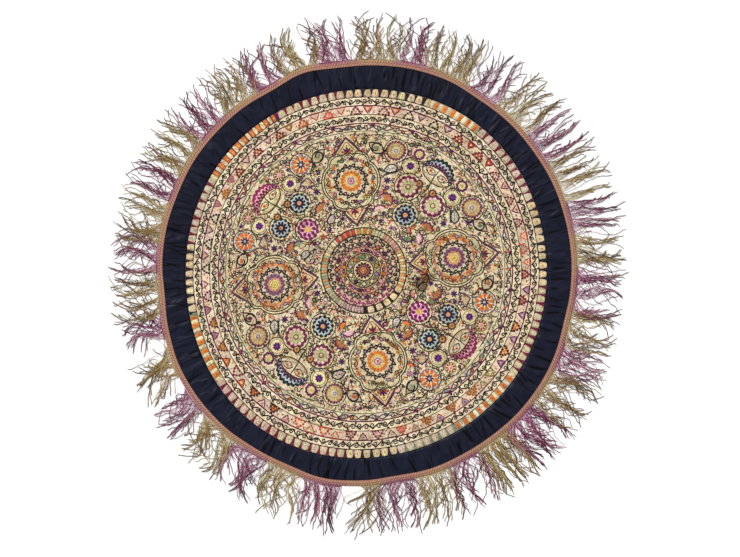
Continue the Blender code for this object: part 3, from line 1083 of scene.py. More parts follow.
def around(distance, axis):
    """A function that gives a place by its distance out and across from a point on the axis."""
    x, y = polar(distance, axis)

    def place(out, across):
        return spot(*spot(x, y, out, axis), across, axis + 90)

    return place


def turned(angle, middle):
    """How far an angle lies from the middle one, from -180 to 180."""
    return (angle - middle + 180) % 360 - 180


def lobed(place, size, steps=64):
    """The lobed outline of a medallion's frame."""
    outline = []
    for step in range(steps):
        angle = 360 * step / steps
        near = [(abs(turned(angle, middle)) / half, half, swell) for middle, half, swell in FRAME_LOBES]
        off, _, swell = min(near)
        outline.append(place(*polar(size * swell * (1 - LOBE_DIP * min(off, 1.0) ** 3), angle)))
    return outline


def palmette(work, place, out, across, size, facing, threads):
    """A fan of leaves on one foot."""
    x, y = place(out, across)
    for number, thread in enumerate(threads):
        angle = facing + 36 * (number - (len(threads) - 1) / 2)
        work.patch(leaf(x, y, size, size * 0.42, angle, 3), thread, 0.3, 0.9)


def kite(work, place, axis, side):
    """The kite on one side of a medallion, with the lines, dots and palmette in it."""
    tip, foot, shoulder = side * KITE_TIP, side * KITE_FOOT, side * KITE_SHOULDER[0]
    wide = KITE_SHOULDER[1]
    legs = [(foot, -KITE_HALF), (shoulder, -wide), (tip, 0), (shoulder, wide), (foot, KITE_HALF)]
    legs = [place(*corner) for corner in legs]
    inner_foot = place(side * (KITE_FOOT - 1), 0)
    work.patch([legs[2], legs[1], legs[0], inner_foot, legs[4], legs[3]], KITE_GROUND, 0.15, 0.35, 0.8)
    work.line(legs, KITE_LINE, 6.0, 0.3, 1.2)
    outs = [side * (KITE_TIP - 11 - step * 4.4) for step in range(6)]
    inner = [place(outs[step], -2.5 - step * 3.2) for step in range(5, -1, -1)]
    inner += [place(outs[step], 2.5 + step * 3.2) for step in range(6)]
    work.line(inner, PLUM, 1.8, 0.4, 0.8)
    for step in range(4):
        x, y = place(side * (KITE_TIP - 18 - step * 4.5), (step % 2 * 2 - 1) * step * 1.8)
        work.dot(x, y, 1.8, (VIOLET, RUST)[step % 2], 0.4, 0.8)
    facing = axis + (0 if side > 0 else 180)
    threads = (RUST, PLUM, VIOLET, PLUM, RUST) if side > 0 else (SALMON, PLUM, MAROON, PLUM, SALMON)
    palmette(work, place, side * (KITE_FOOT + 4), 0, 15.0, facing, threads)
    for across in (-13, 13):
        shape = leaf(*place(side * (KITE_FOOT + 3), across), 10.0, 5.0, facing - across * 2)
        work.patch(shape, PLUM, 0.25, 0.7)
    base = [place(side * (KITE_FOOT + 1.5), across) for across in (-22, -11, 0, 11, 22)]
    work.line(base, FRAME_LINE, 2.0, 0.3, 0.8)


medallions = Needlework(37)
chance = medallions.chance
for quarter in range(4):
    axis = 90 * quarter
    upright = quarter % 2 == 1
    place = around(MEDALLION_AT, axis)
    centre = place(0, 0)
    for side in (1, -1):
        kite(medallions, place, axis, side)
    outer, inner = lobed(place, FRAME_SIZE), lobed(place, FRAME_SIZE - FRAME_GAP)
    medallions.patch(outer, FRAME_GROUND, 0.2, 0.3, 0.9, centre)
    medallions.patch(inner, INNER_GROUND, 0.3, 0.4, 0.9, centre)
    medallions.loop(outer, FRAME_LINE, 2.5, 0.3, 0.95)
    medallions.loop(inner, FRAME_LINE, 2.3, 0.35, 0.95)
    flank = (ORANGE, RUST, SALMON, GOLD) if upright else (ORANGE, SALMON, ORANGE, RUST)
    for number in range(SPRIGS):
        angle = 12 * number + chance.uniform(-4, 4)
        x, y = spot(*centre, SPRIG_RING + chance.uniform(-3.0, 3.0), angle)
        sideways = abs(math.sin(math.radians(angle - axis))) > 0.6
        thread = chance.choice(flank if sideways else (SAGE, ROSE_GREY, PLUM, OLIVE, SALMON))
        if number % 3 == 0:
            shape = leaf(*spot(x, y, -6, angle + 70), 13.0, 6.5, angle + 70, 4)
            medallions.patch(shape, (LILAC_GREY, thread)[number % 2], 0.4, 0.7)
            medallions.loop(shape, (KITE_LINE, FRAME_LINE)[number % 2], 2.3, 0.5, 0.95)
        else:
            for petal in range(5):
                turn = angle + 72 * petal + chance.uniform(-12, 12)
                medallions.patch(leaf(x, y, 6.0, 4.6, turn), thread, 0.45, 0.85)
            medallions.dot(x, y, 1.9, chance.choice((MAROON, RUST, BUTTER)), 0.8, 1.0)
        path = curl(*spot(*centre, SPRIG_RING + 3.5, angle + 8), 4.4, angle * 3, 1.0, 7)
        medallions.line(path, FRAME_LINE, 2.1, 0.4, 0.9)
    if not upright:
        for number in range(HOOP_LEAVES):
            angle = 360 * number / HOOP_LEAVES + chance.uniform(-3, 3)
            x, y = spot(*centre, HOOP_RING + chance.uniform(-1.4, 1.4), angle)
            thread = chance.choice(HOOP_THREADS)
            facing = angle + 90 + chance.uniform(-20, 20)
            medallions.patch(leaf(*spot(x, y, -5.2, facing), 10.4, 7.0, facing, 4), thread, 0.46, 0.9)
    disc_ring(medallions, *centre, DISC_IN, DISC_OUT, dye(226, 208, 180), 20, 0.45, 0.52)
    for number in range(CURLS):
        angle = 15 * number
        side = 1 if number % 2 else -1
        x, y = spot(*centre, CURL_RING + side * 1.4, angle)
        path = curl(x, y, 4.9, angle + 90 + 90 * side, 1.3 * side)
        medallions.line(path, SCROLL_THREAD, 2.9, 0.5, 1.0)
        x, y = spot(*centre, CURL_RING - side * 4.0, angle + 7)
        medallions.patch(leaf(x, y, 7.0, 3.8, angle + 90 + 30 * side), SCROLL_THREAD, 0.5, 0.9)
    rosette(medallions, *centre, MIDDLE_SIZE, axis, SUN if upright else DUSK)
medallions.finish("medallions", silk)


# The flowers of the four quarters: rosettes, stars, fans, carnations and sprigs in silk, sewn down before the
# ground between them is filled. Opposite quarters are alike, and neighbours have the other colourway.
DARK_TEAL = dye(32, 44, 48)
SKY_BLUE = dye(190, 206, 206)
NIGHT = dye(34, 32, 58)
CHERRY = dye(150, 44, 94)
STAR_VIOLET = dye(84, 30, 118)

TEAL_ROSETTE = (
    ("round", 1.0, 14, DARK_TEAL),
    ("round", 0.84, 10, SKY_BLUE),
    ("petals", 0.73, 10, NIGHT),
    ("round", 0.48, 10, NIGHT),
    ("round", 0.22, 0, dye(232, 170, 124)),
)
PINK_ROSETTE = (
    ("round", 1.0, 12, dye(112, 32, 84)),
    ("round", 0.82, 10, dye(236, 170, 192)),
    ("petals", 0.74, 8, dye(104, 36, 94)),
    ("round", 0.28, 8, dye(236, 204, 104)),
)
PALE_ROSETTE = (
    ("round", 1.0, 12, dye(116, 38, 78)),
    ("round", 0.80, 11, dye(190, 128, 134)),
    ("petals", 0.78, 11, dye(236, 206, 192)),
    ("round", 0.60, 11, dye(208, 206, 158)),
    ("petals", 0.58, 10, dye(188, 192, 132)),
    ("round", 0.24, 0, dye(96, 60, 44)),
    ("round", 0.16, 0, dye(232, 204, 168)),
)
GOLD_WHEEL = (
    ("round", 1.03, 20, dye(102, 48, 84)),
    ("round", 0.84, 20, dye(188, 152, 92)),
    ("petals", 0.84, 16, dye(200, 184, 130)),
    ("dots", 0.76, 12, dye(204, 124, 76)),
    ("round", 0.40, 10, dye(214, 202, 170)),
    ("hoop", 0.15, 2.2, dye(104, 74, 132)),
)
FIRE_WHEEL = (
    ("round", 1.0, 20, dye(116, 112, 146)),
    ("round", 0.88, 16, dye(232, 218, 178)),
    ("petals", 0.90, 9, dye(220, 112, 40)),
    ("star", 0.50, 8, dye(66, 32, 74)),
    ("round", 0.13, 0, dye(190, 190, 200)),
)
PURPLE_ASTER = (
    ("round", 1.0, 9, dye(104, 32, 88)),
    ("round", 0.66, 9, dye(232, 204, 180)),
    ("petals", 0.64, 9, dye(208, 208, 142)),
    ("round", 0.28, 8, dye(222, 196, 100)),
)
RED_ASTER = (
    ("round", 1.0, 0, dye(136, 126, 76)),
    ("round", 0.86, 0, dye(234, 216, 170)),
    ("petals", 0.84, 9, dye(138, 36, 56)),
    ("round", 0.30, 8, dye(236, 170, 176)),
)
VIOLET_STAR = (
    ("round", 1.0, 0, dye(150, 144, 96)),
    ("round", 0.90, 0, dye(238, 224, 170)),
    ("petals", 0.66, 8, STAR_VIOLET),
    ("star", 0.50, 8, STAR_VIOLET),
    ("round", 0.14, 0, dye(150, 60, 130)),
)
BROWN_BUD = (
    ("round", 1.0, 8, dye(84, 50, 36)),
    ("round", 0.66, 8, dye(202, 146, 92)),
    ("round", 0.26, 0, dye(120, 66, 40)),
)
SMALL_STAR = (("star", 1.0, 7, dye(74, 32, 86)),)

# Columns: distance from the middle, angles in the quarter, size, first and second colourway
QUARTER_FLOWERS = (
    (267.7, (22.5, 67.3), 22.0, GOLD_WHEEL, FIRE_WHEEL),
    (277.4, (33.2, 56.8), 13.5, PURPLE_ASTER, RED_ASTER),
    (246.2, (31.8, 58.2), 15.0, VIOLET_STAR, VIOLET_STAR),
    (202.5, (35.3, 54.2), 25.0, PALE_ROSETTE, TEAL_ROSETTE),
    (149.4, (45.0,), 24.0, TEAL_ROSETTE, PINK_ROSETTE),
    (221.0, (40.4, 49.6), 9.2, BROWN_BUD, BROWN_BUD),
    (200.0, (22.6, 67.4), 9.0, SMALL_STAR, SMALL_STAR),
)
RING_STEM = dye(58, 56, 34)
RING_GAP = 3.6
FAN_AT, FAN_SIZE = 254.5, 38.5
TOOTHED_AT, CARNATIONS_AT, LEAVES_AT, SPRIGS_AT = 226.8, 158.0, 131.0, 268.0
FAN_THREADS = (CHERRY, PINK, PLUM, SALMON)
OTHER_FAN_THREADS = (DARK_TEAL, SKY_BLUE, dye(58, 36, 80), dye(150, 74, 92))
# Each place that is taken: x, y and how far it reaches
taken = [(0, 0, 95.0)]
for quarter in range(4):
    place = around(MEDALLION_AT, 90 * quarter)
    taken += [(*place(0, 0), 64.0), (*place(76, 0), 15.0), (*place(-76, 0), 15.0), (*place(90, 0), 6.0)]


def toothed(x, y, size, facing, spread, teeth, depth):
    """A fan with a toothed rim, on a pointed foot."""
    outline = [(x, y)]
    for step in range(teeth * 2 + 1):
        angle = facing - spread + 2 * spread * step / (teeth * 2)
        outline.append(spot(x, y, size * (1 - depth if step % 2 == 0 else 1.0), angle))
    return outline


def carnation(work, x, y, size, facing, body, edge):
    """A carnation seen from the side: a toothed fan with a dark edge, a calyx and a short stem."""
    outline = toothed(x, y, size, facing, 68, 5, 0.2)
    work.patch(outline, body, 0.25, 0.75, 0.6)
    work.line(outline[1:], edge, size * 0.26, 0.6, 1.1)
    calyx = leaf(*spot(x, y, -size * 0.25, facing), size * 0.5, size * 0.34, facing)
    work.patch(calyx, OLIVE, 0.4, 0.9)
    stem = [spot(x, y, -size * step / 4, facing + 5 * step) for step in range(5)]
    work.line(stem, RING_STEM, 1.3, 0.2, 0.6)
    taken.append((*spot(x, y, size * 0.55, facing), size * 0.6))


def big_leaf(work, x, y, size, facing, edge, vein):
    """A leaf with a heavy dark edge on one side, veins and a cream body."""
    outline = leaf(*spot(x, y, -size / 2, facing), size, size * 0.62, facing, 5)
    work.patch(outline, dye(222, 212, 190), 0.25, 0.6, 0.8)
    work.loop(outline, edge, size * 0.11, 0.4, 1.0)
    for step in range(7):
        tooth = spot(*spot(x, y, size * (step / 8 - 0.38), facing), size * 0.27, facing + 90)
        work.dot(*tooth, size * 0.085, edge, 0.7, 1.1)
    for share in (0.3, 0.5, 0.7):
        foot = spot(x, y, size * (share - 0.5), facing)
        for side, thread in ((-1, edge), (1, vein)):
            work.line([foot, spot(*foot, size * 0.22, facing + side * 48)], thread, 2.3, 0.5, 0.95)
    rib = [spot(x, y, size * (step / 4 - 0.5), facing) for step in range(5)]
    work.line(rib, vein, 1.8, 0.45, 0.85)
    taken.append((x, y, size * 0.5))


def sprig(work, x, y, size, facing, fruit):
    """A fruit in the curl of a heavy black stem, over a cream husk with two leaves at its foot."""
    husk = leaf(*spot(x, y, size * 0.9, facing + 180), size * 1.8, size * 1.1, facing, 6)
    work.patch(husk, dye(206, 190, 156), 0.2, 0.5, 0.8)
    work.loop(husk, BLACK, 3.2, 0.3, 0.95)
    stem = [spot(x, y, size * (0.30 + 0.02 * step), facing + 170 - 30 * step) for step in range(11)]
    work.line(stem, BLACK, 3.4, 0.5, 1.15)
    pod = leaf(*spot(x, y, -size * 0.34, facing + 40), size * 0.68, size * 0.42, facing + 40, 4)
    work.patch(pod, fruit, 0.5, 1.0, 0.6)
    foot = spot(x, y, size * 0.85, facing + 180)
    for side, thread in ((-1, MAROON), (1, BLACK)):
        shape = leaf(*foot, size * 0.62, size * 0.3, facing + 180 + 65 * side)
        work.patch(shape, thread, 0.4, 0.95)
        path = curl(*spot(x, y, size * 0.8, facing + 52 * side), size * 0.22, facing, side, 7)
        work.line(path, BLACK, 2.3, 0.3, 0.9)
    taken.append((x, y, size * 0.9))


def blossom(work, x, y, size, petals, thread, eye, rise=0.2):
    """A small flower of separate petals round an eye."""
    turn = work.chance.uniform(0, 90)
    for petal in range(petals):
        shape = leaf(x, y, size, size * 0.85, turn + 360 * petal / petals)
        work.patch(shape, thread, rise, rise + 0.55)
    work.dot(x, y, size * 0.32, eye, rise + 0.4, rise + 0.7)


def crescent(place, reach, half, lobes=0, depth=0.0):
    """The outline of a fan from its middle: so far out, and so far to each side, with rounded lobes."""
    outline = []
    steps = max(lobes * 4, 16)
    for step in range(steps + 1):
        turn = math.pi * step / steps - math.pi / 2
        swell = 1 - depth * (1 - abs(math.sin(math.pi * step / 4)))
        outline.append(place(reach * math.cos(turn) * swell, half * math.sin(turn) * swell))
    return outline


def fan(work, facing, distance, size, threads):
    """A large fan flower: a lobed rim and a row of petals over a pale bowl, parted by a stem."""
    rim, inside, petals, heart = threads
    place = around(distance, facing)
    hub = place(size * 0.3, 0)
    work.patch(crescent(place, size * 1.03, size * 1.02, 11, 0.10), rim, 0.25, 0.5, 0.86, hub)
    work.patch(crescent(place, size * 0.84, size * 0.93, 11, 0.13), inside, 0.5, 0.7, 0.86, hub)
    work.patch(crescent(place, size * 0.58, size * 0.78), petals, 0.7, 0.85, 0.9, hub)
    for number in range(-5, 6):
        turn = math.radians(15 * number)
        foot = place(size * 0.46 * math.cos(turn), size * 0.72 * math.sin(turn))
        petal = leaf(*foot, size * 0.27, size * 0.15, facing + 13 * number, 4, 1.4)
        work.patch(petal, petals, 0.85, 1.2)
        foot = place(size * 0.42 * math.cos(turn), size * 0.70 * math.sin(turn))
        petal = leaf(*foot, size * 0.16, size * 0.10, facing + 13 * number)
        work.patch(petal, heart, 0.95, 1.35)
    edge = crescent(place, size * 0.40, size * 0.84)
    bowl = edge + crescent(place, -size * 0.36, -size * 0.84)
    work.patch(bowl, dye(238, 224, 186), 0.95, 1.05, 0.9, place(0, 0))
    work.line(edge, BLACK, 2.0, 1.0, 1.4)
    for reach, thread in ((0.44, BLACK), (0.36, GOLD), (0.28, BLACK), (0.20, OLIVE)):
        path = crescent(place, -size * reach, size * (1.02 - reach * 0.4))
        work.line(path, thread, 2.0, 0.6, 1.3)
    for side, thread in ((-1, SALMON), (1, ORANGE)):
        lens = leaf(*place(size * 0.02, side * size * 0.08), size * 0.66, size * 0.36, facing + side * 82, 5)
        work.loop(lens, GREEN_BLACK, 2.3, 1.0, 1.4)
        for across in (0.20, 0.58):
            path = curl(*place(0, side * size * across), size * 0.09, facing, 1.0, 6)
            work.line(path, BLACK, 2.0, 1.0, 1.4)
        blossom(work, *place(size * 0.08, side * size * 0.40), size * 0.13, 5, thread, MAROON, 1.0)
    stem = [place(size * (0.5 - 1.75 * step / 6), 2.0 * math.sin(step)) for step in range(7)]
    work.line(stem, RING_STEM, 2.8, 1.0, 1.5)
    taken.append((*place(size * 0.2, 0), size * 0.92))


flowers = Needlework(53)
chance = flowers.chance
for quarter in range(4):
    base, other = 90 * quarter, quarter % 2
    for distance, angles, size, first, second in QUARTER_FLOWERS:
        for angle in angles:
            x, y = polar(distance + chance.uniform(-1.5, 1.5), base + angle)
            radius = size * (0.9 if other and size == 25.0 else 1.0) * chance.uniform(0.97, 1.03)
            rosette(flowers, x, y, radius, chance.uniform(0, 40), second if other else first)
            taken.append((x, y, radius + 2.5))
            if size > 14:
                open_at = base + angle + 180 + chance.uniform(-40, 40)
                hoop = [spot(x, y, radius + RING_GAP, open_at + 25 + 310 * step / 26) for step in range(27)]
                flowers.line(hoop, RING_STEM, 2.2, 0.15, 0.8)
    fan(flowers, base + 45, FAN_AT, FAN_SIZE, FAN_THREADS if other else OTHER_FAN_THREADS)
    for angle, side in ((23.0, -1), (67.4, 1)):
        x, y = polar(TOOTHED_AT, base + angle)
        if other:
            foot = spot(x, y, 9, base + angle)
            outline = toothed(*foot, 24, base + angle + 180 + side * 30, 48, 5, 0.2)
            flowers.patch(outline, dye(214, 190, 150), 0.25, 0.6, 0.7)
            flowers.loop(outline, dye(78, 34, 98), 3.2, 0.35, 0.95)
            flowers.dot(*spot(x, y, -5, base + angle), 3.6, RUST, 0.5, 0.9)
            taken.append((x, y, 12.0))
        else:
            big_leaf(flowers, x, y, 31.0, base + angle + 90 + side * 30, DARK_TEAL, dye(120, 60, 96))
    for angle, side in ((25.5, -1), (64.7, 1)):
        x, y = polar(CARNATIONS_AT, base + angle)
        carnation(flowers, x, y, 18.0, base + angle - side * 20, dye(192, 122, 76), dye(92, 46, 82))
    for angle, side in ((23.5, -1), (66.5, 1)):
        x, y = polar(LEAVES_AT, base + angle)
        if other:
            big_leaf(flowers, x, y, 25.0, base + angle + 60 * side, DARK_TEAL, MAUVE)
        else:
            carnation(flowers, x, y, 16.5, base + angle + side * 30, dye(226, 190, 186), dye(112, 36, 88))
    for angle, side in ((13.4, -1), (76.6, 1)):
        x, y = polar(SPRIGS_AT, base + angle)
        fruit = chance.choice((SAGE, dye(200, 112, 72), PLUM))
        sprig(flowers, x, y, 21.0, base + angle + side * 60, fruit)
flowers.finish("quarter_flowers", silk)


# The filling between the flowers: dark winding stems, then curls, leaves, small blossoms and seed dots worked
# close together in odd lengths of silk, so that little of the ground is left bare. Their places are free.
# Columns: distance and angle in the quarter of the stem's two ends, and how far it bows to the left
STEMS = (
    (226.0, 45.0, 216.0, 27.0, -9.0),
    (229.0, 43.0, 176.0, 43.0, 7.0),
    (172.0, 40.0, 184.0, 27.0, 8.0),
    (245.0, 25.0, 226.0, 31.0, 8.0),
    (252.0, 18.0, 216.0, 20.0, -9.0),
    (290.0, 27.0, 296.0, 42.0, -6.0),
    (262.0, 30.0, 284.0, 40.0, 7.0),
    (126.0, 42.0, 118.0, 20.0, 8.0),
    (178.0, 30.0, 156.0, 33.0, -7.0),
    (296.0, 18.0, 286.0, 6.0, 6.0),
)
DULL_RED = dye(184, 88, 68)
TAN = dye(206, 152, 108)
SPRIG_TRIES = 3200
FILL_PITCH = 6.6
RING_SHARE = 0.9
FILL_NEAR, FILL_FAR = 97.5, 300.5
# How much of the filling, added up, is curls, then leaves, then blossoms. The rest is seed dots.
CURL_SHARE, LEAF_SHARE, BLOSSOM_SHARE = 0.50, 0.74, 0.88
DARK_STEMS = (
    GREEN_BLACK, SCROLL_THREAD, dye(52, 46, 28), dye(66, 36, 30), PLUM, dye(70, 70, 40), SCROLL_THREAD
)
LEAF_THREADS = (
    SAGE, PALE_GREEN, GOLD, RUST, TEAL, SAGE, GREEN_BLACK, MAUVE, PLUM, VIOLET, PALE_GREEN, MAROON
)
BLOSSOM_THREADS = (
    SALMON, ORANGE, DULL_RED, ROSE_GREY, PLUM, MAUVE, TAN, PEACH, MAROON, RUST, VIOLET, OLIVE
)
BUD_THREADS = (DULL_RED, TAN, ORANGE, PALE_YELLOW, LAVENDER, CREAM, BUTTER, PLUM)


def bowed(start, end, bow, steps=10):
    """A path from start to end that bows out to the left."""
    along, up = end[0] - start[0], end[1] - start[1]
    length = math.hypot(along, up)
    path = []
    for step in range(steps + 1):
        share = step / steps
        out = bow * math.sin(math.pi * share) / length
        path.append((start[0] + along * share - up * out, start[1] + up * share + along * out))
    return path


def open_ground(x, y, margin):
    """Whether a place of the pattern is clear of the flowers and medallions."""
    return all(math.hypot(x - there[0], y - there[1]) > there[2] + margin for there in taken)


stems = Needlework(71)
blossoms = Needlework(89)
chance = stems.chance
for quarter in range(4):
    axis = 90 * quarter + 45
    for near, near_angle, far, far_angle, bow in STEMS:
        for side in (1, -1):
            start = polar(near, axis + side * (near_angle - 45))
            end = polar(far, axis + side * (far_angle - 45))
            path = bowed(start, end, bow * side)
            stems.line(path, RING_STEM, 1.8, 0.15, 0.62)
            for step in (3, 7):
                turns = chance.choice((1.1, -1.1))
                x, y = spot(*path[step], 3.0, chance.uniform(0, 360))
                stems.line(curl(x, y, 3.4, chance.uniform(0, 360), turns, 7), RING_STEM, 1.3, 0.15, 0.6)

motifs = Needlework(97)
chance = motifs.chance
for _ in range(SPRIG_TRIES):
    size = chance.choice((8.0, 9.5, 11.0, 13.0))
    x, y = polar(chance.uniform(FILL_NEAR + size, FILL_FAR - size), chance.uniform(0, 360))
    if not open_ground(x, y, size * 0.58):
        continue
    facing = chance.uniform(0, 360)
    kind = chance.choice(("carnation", "leaf", "flower", "star", "pair"))
    if kind == "carnation":
        body = chance.choice((ORANGE, SALMON, CREAM, PEACH, SAGE))
        edge = chance.choice((PLUM, MAROON, VIOLET))
        carnation(motifs, *spot(x, y, -size * 0.4, facing), size, facing, body, edge)
    elif kind == "leaf":
        shape = leaf(*spot(x, y, -size * 0.7, facing), size * 1.4, size * 0.8, facing, 4)
        motifs.patch(shape, chance.choice((ROSE_GREY, ASH, SAGE, BUTTER, MAUVE)), 0.2, 0.6)
        motifs.loop(shape, chance.choice((BLACK, GREEN_BLACK, PLUM)), 2.6, 0.3, 0.9)
    elif kind == "flower":
        threads = chance.choice(BLOSSOM_THREADS), chance.choice(BUD_THREADS)
        blossom(motifs, x, y, size * 0.6, 5, *threads)
    elif kind == "star":
        rosette(motifs, x, y, size * 0.62, facing, SMALL_STAR)
    else:
        for side in (-1, 1):
            shape = leaf(x, y, size * 0.8, size * 0.42, facing + 62 * side)
            motifs.patch(shape, chance.choice((RUST, PLUM, RED, ORANGE, TEAL, OLIVE)), 0.2, 0.7)
        stalk = [spot(x, y, size * (0.5 - step / 3), facing + 6 * step) for step in range(4)]
        motifs.line(stalk, GREEN_BLACK, 1.6)
    taken.append((x, y, size * 0.5))
motifs.finish("filling_sprigs", silk)

chance = stems.chance
for ring in range(int((FILL_FAR - FILL_NEAR) / (FILL_PITCH * RING_SHARE))):
    radius = FILL_NEAR + 2 + ring * FILL_PITCH * RING_SHARE
    places = int(2 * math.pi * radius / FILL_PITCH)
    for number in range(places):
        angle = 360 * (number + 0.5 * (ring % 2) + chance.uniform(-0.3, 0.3)) / places
        x, y = polar(radius + chance.uniform(-1.6, 1.6), angle)
        if not open_ground(x, y, 0.6):
            continue
        kind = chance.random()
        facing = chance.uniform(0, 360)
        if kind < CURL_SHARE:
            size = chance.uniform(3.4, 6.2)
            path = curl(x, y, size, facing, chance.choice((0.7, -0.7, 1.05, -1.05)), 7)
            stems.line(path, chance.choice(DARK_STEMS), chance.uniform(1.8, 2.6), 0.12, 0.6)
        elif kind < LEAF_SHARE:
            length = chance.uniform(5.0, 9.0)
            shape = leaf(*spot(x, y, -length / 2, facing), length, length * 0.46, facing)
            blossoms.patch(shape, chance.choice(LEAF_THREADS), 0.15, 0.6)
        elif kind < BLOSSOM_SHARE:
            petals = chance.choice((3, 4, 5))
            threads = chance.choice(BLOSSOM_THREADS), chance.choice(BUD_THREADS)
            blossom(blossoms, x, y, chance.uniform(3.0, 4.4), petals, *threads)
        else:
            size = chance.uniform(1.6, 2.4)
            blossoms.dot(x, y, size, chance.choice(BUD_THREADS), 0.15, 0.6)
stems.finish("filling_stems", silk)
blossoms.finish("filling_blossoms", silk)


# The satin border: one long navy strip gathered on to the panel's rim, so that it puckers and creases. The
# strip is closed by one cross seam, and its outer edge is turned under the braid.
SATIN_STEPS = 2160
SATIN_LAYERS = 13
SATIN_RISE = 0.12
SATIN_EASE = 0.0003
SATIN_FOOT = 0.0001
SATIN_MAP = 0.96
SATIN_SHEEN = 0.10
PUCKER_DEEP = 0.0036
PUCKERS_ROUND, PUCKERS_OUT = 310, 45
# The depth of a crease, in millimetres, at which its painted shade is full
FULL_SHADE_DEPTH = 0.38
SATIN_CUT = (0.053, 2.65)
MOST_OF_CUT = 0.999
SATIN_BLUE = dye(24, 26, 42)
# Painted shade: the blue that the creases are darkened toward, and that the border's cut edges take
SATIN_SHADE_BLUE = dye(2, 2, 5)
SEAM_AT = 189.0
SEAM_DEPTH = 1.0
TUCKED = 0.89
GATHER_HEIGHT = 0.32
# Columns: angle where the stretch starts, degrees between creases, their depth in mm, their slant in degrees
CREASE_STRETCHES = (
    (0, 1.9, 0.50, 0.5),
    (14, 1.4, 0.80, 0.4),
    (37, 1.4, 0.85, 0.5),
    (52, 2.0, 0.55, 0.7),
    (64, 1.4, 0.85, 0.4),
    (84, 2.2, 0.50, 0.9),
    (100, 2.9, 0.45, 1.4),
    (158, 1.6, 0.65, 2.0),
    (173, 3.2, 0.40, 2.2),
    (192, 2.8, 0.45, 0.9),
    (232, 1.8, 0.80, 0.6),
    (240, 2.8, 0.50, 1.6),
    (252, 1.7, 0.70, 2.6),
    (272, 2.6, 0.60, 2.8),
    (300, 2.0, 0.80, 2.8),
    (330, 2.2, 0.70, 1.8),
    (346, 1.9, 0.60, 0.9),
)
CREASE_REACH = 7
CREASE_SHARE = 0.45

satin_in = smooth_round(rim_of("satin_border", 0.0006, outer=False))
satin_out = smooth_round(rim_of("satin_border", 0.0006))
satin_top = top_of("satin_border")


def crease_depths():
    """How deep the creases lie at each step round the border and each layer across it, in millimetres."""
    chance = random.Random(31)
    depths = [[0.0] * (SATIN_LAYERS + 1) for _ in range(SATIN_STEPS)]
    angle = 0.0
    while angle < 360:
        _, apart, deep, slant = stretch_at(CREASE_STRETCHES, angle, 0)
        angle += apart * chance.uniform(0.4, 1.7)
        deep *= chance.uniform(0.35, 1.2)
        start = chance.uniform(-0.35, 0.35)
        end = start + chance.uniform(0.5, 1.2)
        lean, bow = chance.uniform(-slant, slant), chance.uniform(-0.5, 0.5)
        half = chance.uniform(0.17, 0.36)
        for layer in range(SATIN_LAYERS + 1):
            share = layer / SATIN_LAYERS
            fade = math.sin(math.pi * min(1.0, max(0.0, (share - start) / (end - start))))
            place = angle + lean * share + bow * math.sin(math.pi * share)
            middle = round(place * SATIN_STEPS / 360)
            for step in range(middle - CREASE_REACH, middle + CREASE_REACH + 1):
                away = (step * 360 / SATIN_STEPS - place) / half
                depths[step % SATIN_STEPS][layer] += deep * fade * math.exp(-away * away)
    return [[min(depth, 1.0) for depth in row] for row in depths]


creases = crease_depths()


def satin_section(angle):
    """The border cut from its inner edge to the edge under the braid, upper side first."""
    near, far = satin_in(angle) - RIM_EASE, satin_out(angle) - SATIN_EASE
    step = round(angle * SATIN_STEPS / 360) % SATIN_STEPS
    seam = SEAM_DEPTH if abs(angle - SEAM_AT) < 360 / SATIN_STEPS else 0.0
    section = []
    for layer in range(SATIN_LAYERS + 1):
        share = layer / SATIN_LAYERS
        waver = 40 * math.sin(math.radians(angle * 7))
        swell = GATHER_HEIGHT * (1 + math.sin(math.radians(angle * 83 + waver)))
        open_part = min(1.0, share / 0.04, max(0.0, (TUCKED - share) / 0.05))
        rise = SATIN_RISE + (swell - CREASE_SHARE * creases[step][layer] - seam) * open_part
        radius = near + (far - near) * share
        section.append((radius, height_at(satin_top, *polar(radius, angle)) + rise * MM))
    return section + [(far, SATIN_FOOT), (near, SATIN_FOOT)]


satin, satin_shader, tree = new_material("navy satin", 0.40)
pucker = noise(tree, stitch_place(tree), 0.5, 1.0, 0.9)
# The blue is darker in patches where the pucker noise, which also raises the surface, is high.
mottled = tinted(tree, ramp(tree, pucker, 0.38, 0.66), colour_and_shade(tree), dye(206, 206, 214))
feed(tree, satin_shader.inputs["Base Color"], mottled)
raise_surface(tree, satin_shader, pucker, 1.0, PUCKER_DEEP)
satin_shader.inputs["Specular IOR Level"].default_value = SATIN_SHEEN

points, faces = round_band(SATIN_STEPS, satin_section)
border = add_piece("satin_border_cloth", points, faces, satin)
row_length = len(points) // SATIN_STEPS
flow = []
for number, (x, y, _) in enumerate(points):
    flow.append((number // row_length / SATIN_STEPS * PUCKERS_ROUND, math.hypot(x, y) * PUCKERS_OUT))
add_map(border, "OFBake", from_above(points, SATIN_MAP))
add_map(border, "Stitch", flow)
colours = []
# Painted shade: each point is darkened as far as its crease is deep, and the cut edges are dark all over.
for row in creases:
    for depth in row:
        shadow = min(1.0, depth / FULL_SHADE_DEPTH) ** 0.75
        colours.append(tuple(part + (dark - part) * shadow for part, dark in zip(SATIN_BLUE, SATIN_SHADE_BLUE)))
    colours += [SATIN_SHADE_BLUE, SATIN_SHADE_BLUE]
add_colours_and_shade(border, colours)
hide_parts("satin_border")
border_area = sum(face.area for face in border.data.polygons) / 2
border_area = min(border_area, MOST_OF_CUT * math.prod(SATIN_CUT))


# The braid: a flat ribbed tape sewn over the border's outer edge, dyed pinkish tan. Its outer side carries
# the fringe, and has taken up some of the dye of the threads there.
BRAID_STEPS = 2880
BRAID_RISE = 0.00008
RIB = 0.00022
BRAID_FOOT, BRAID_LAP = 0.0001, 0.0016
BRAID_MAP = 0.98
# How far out the corners lie that count as a fringe block's foot
BLOCK_FOOT = 0.004
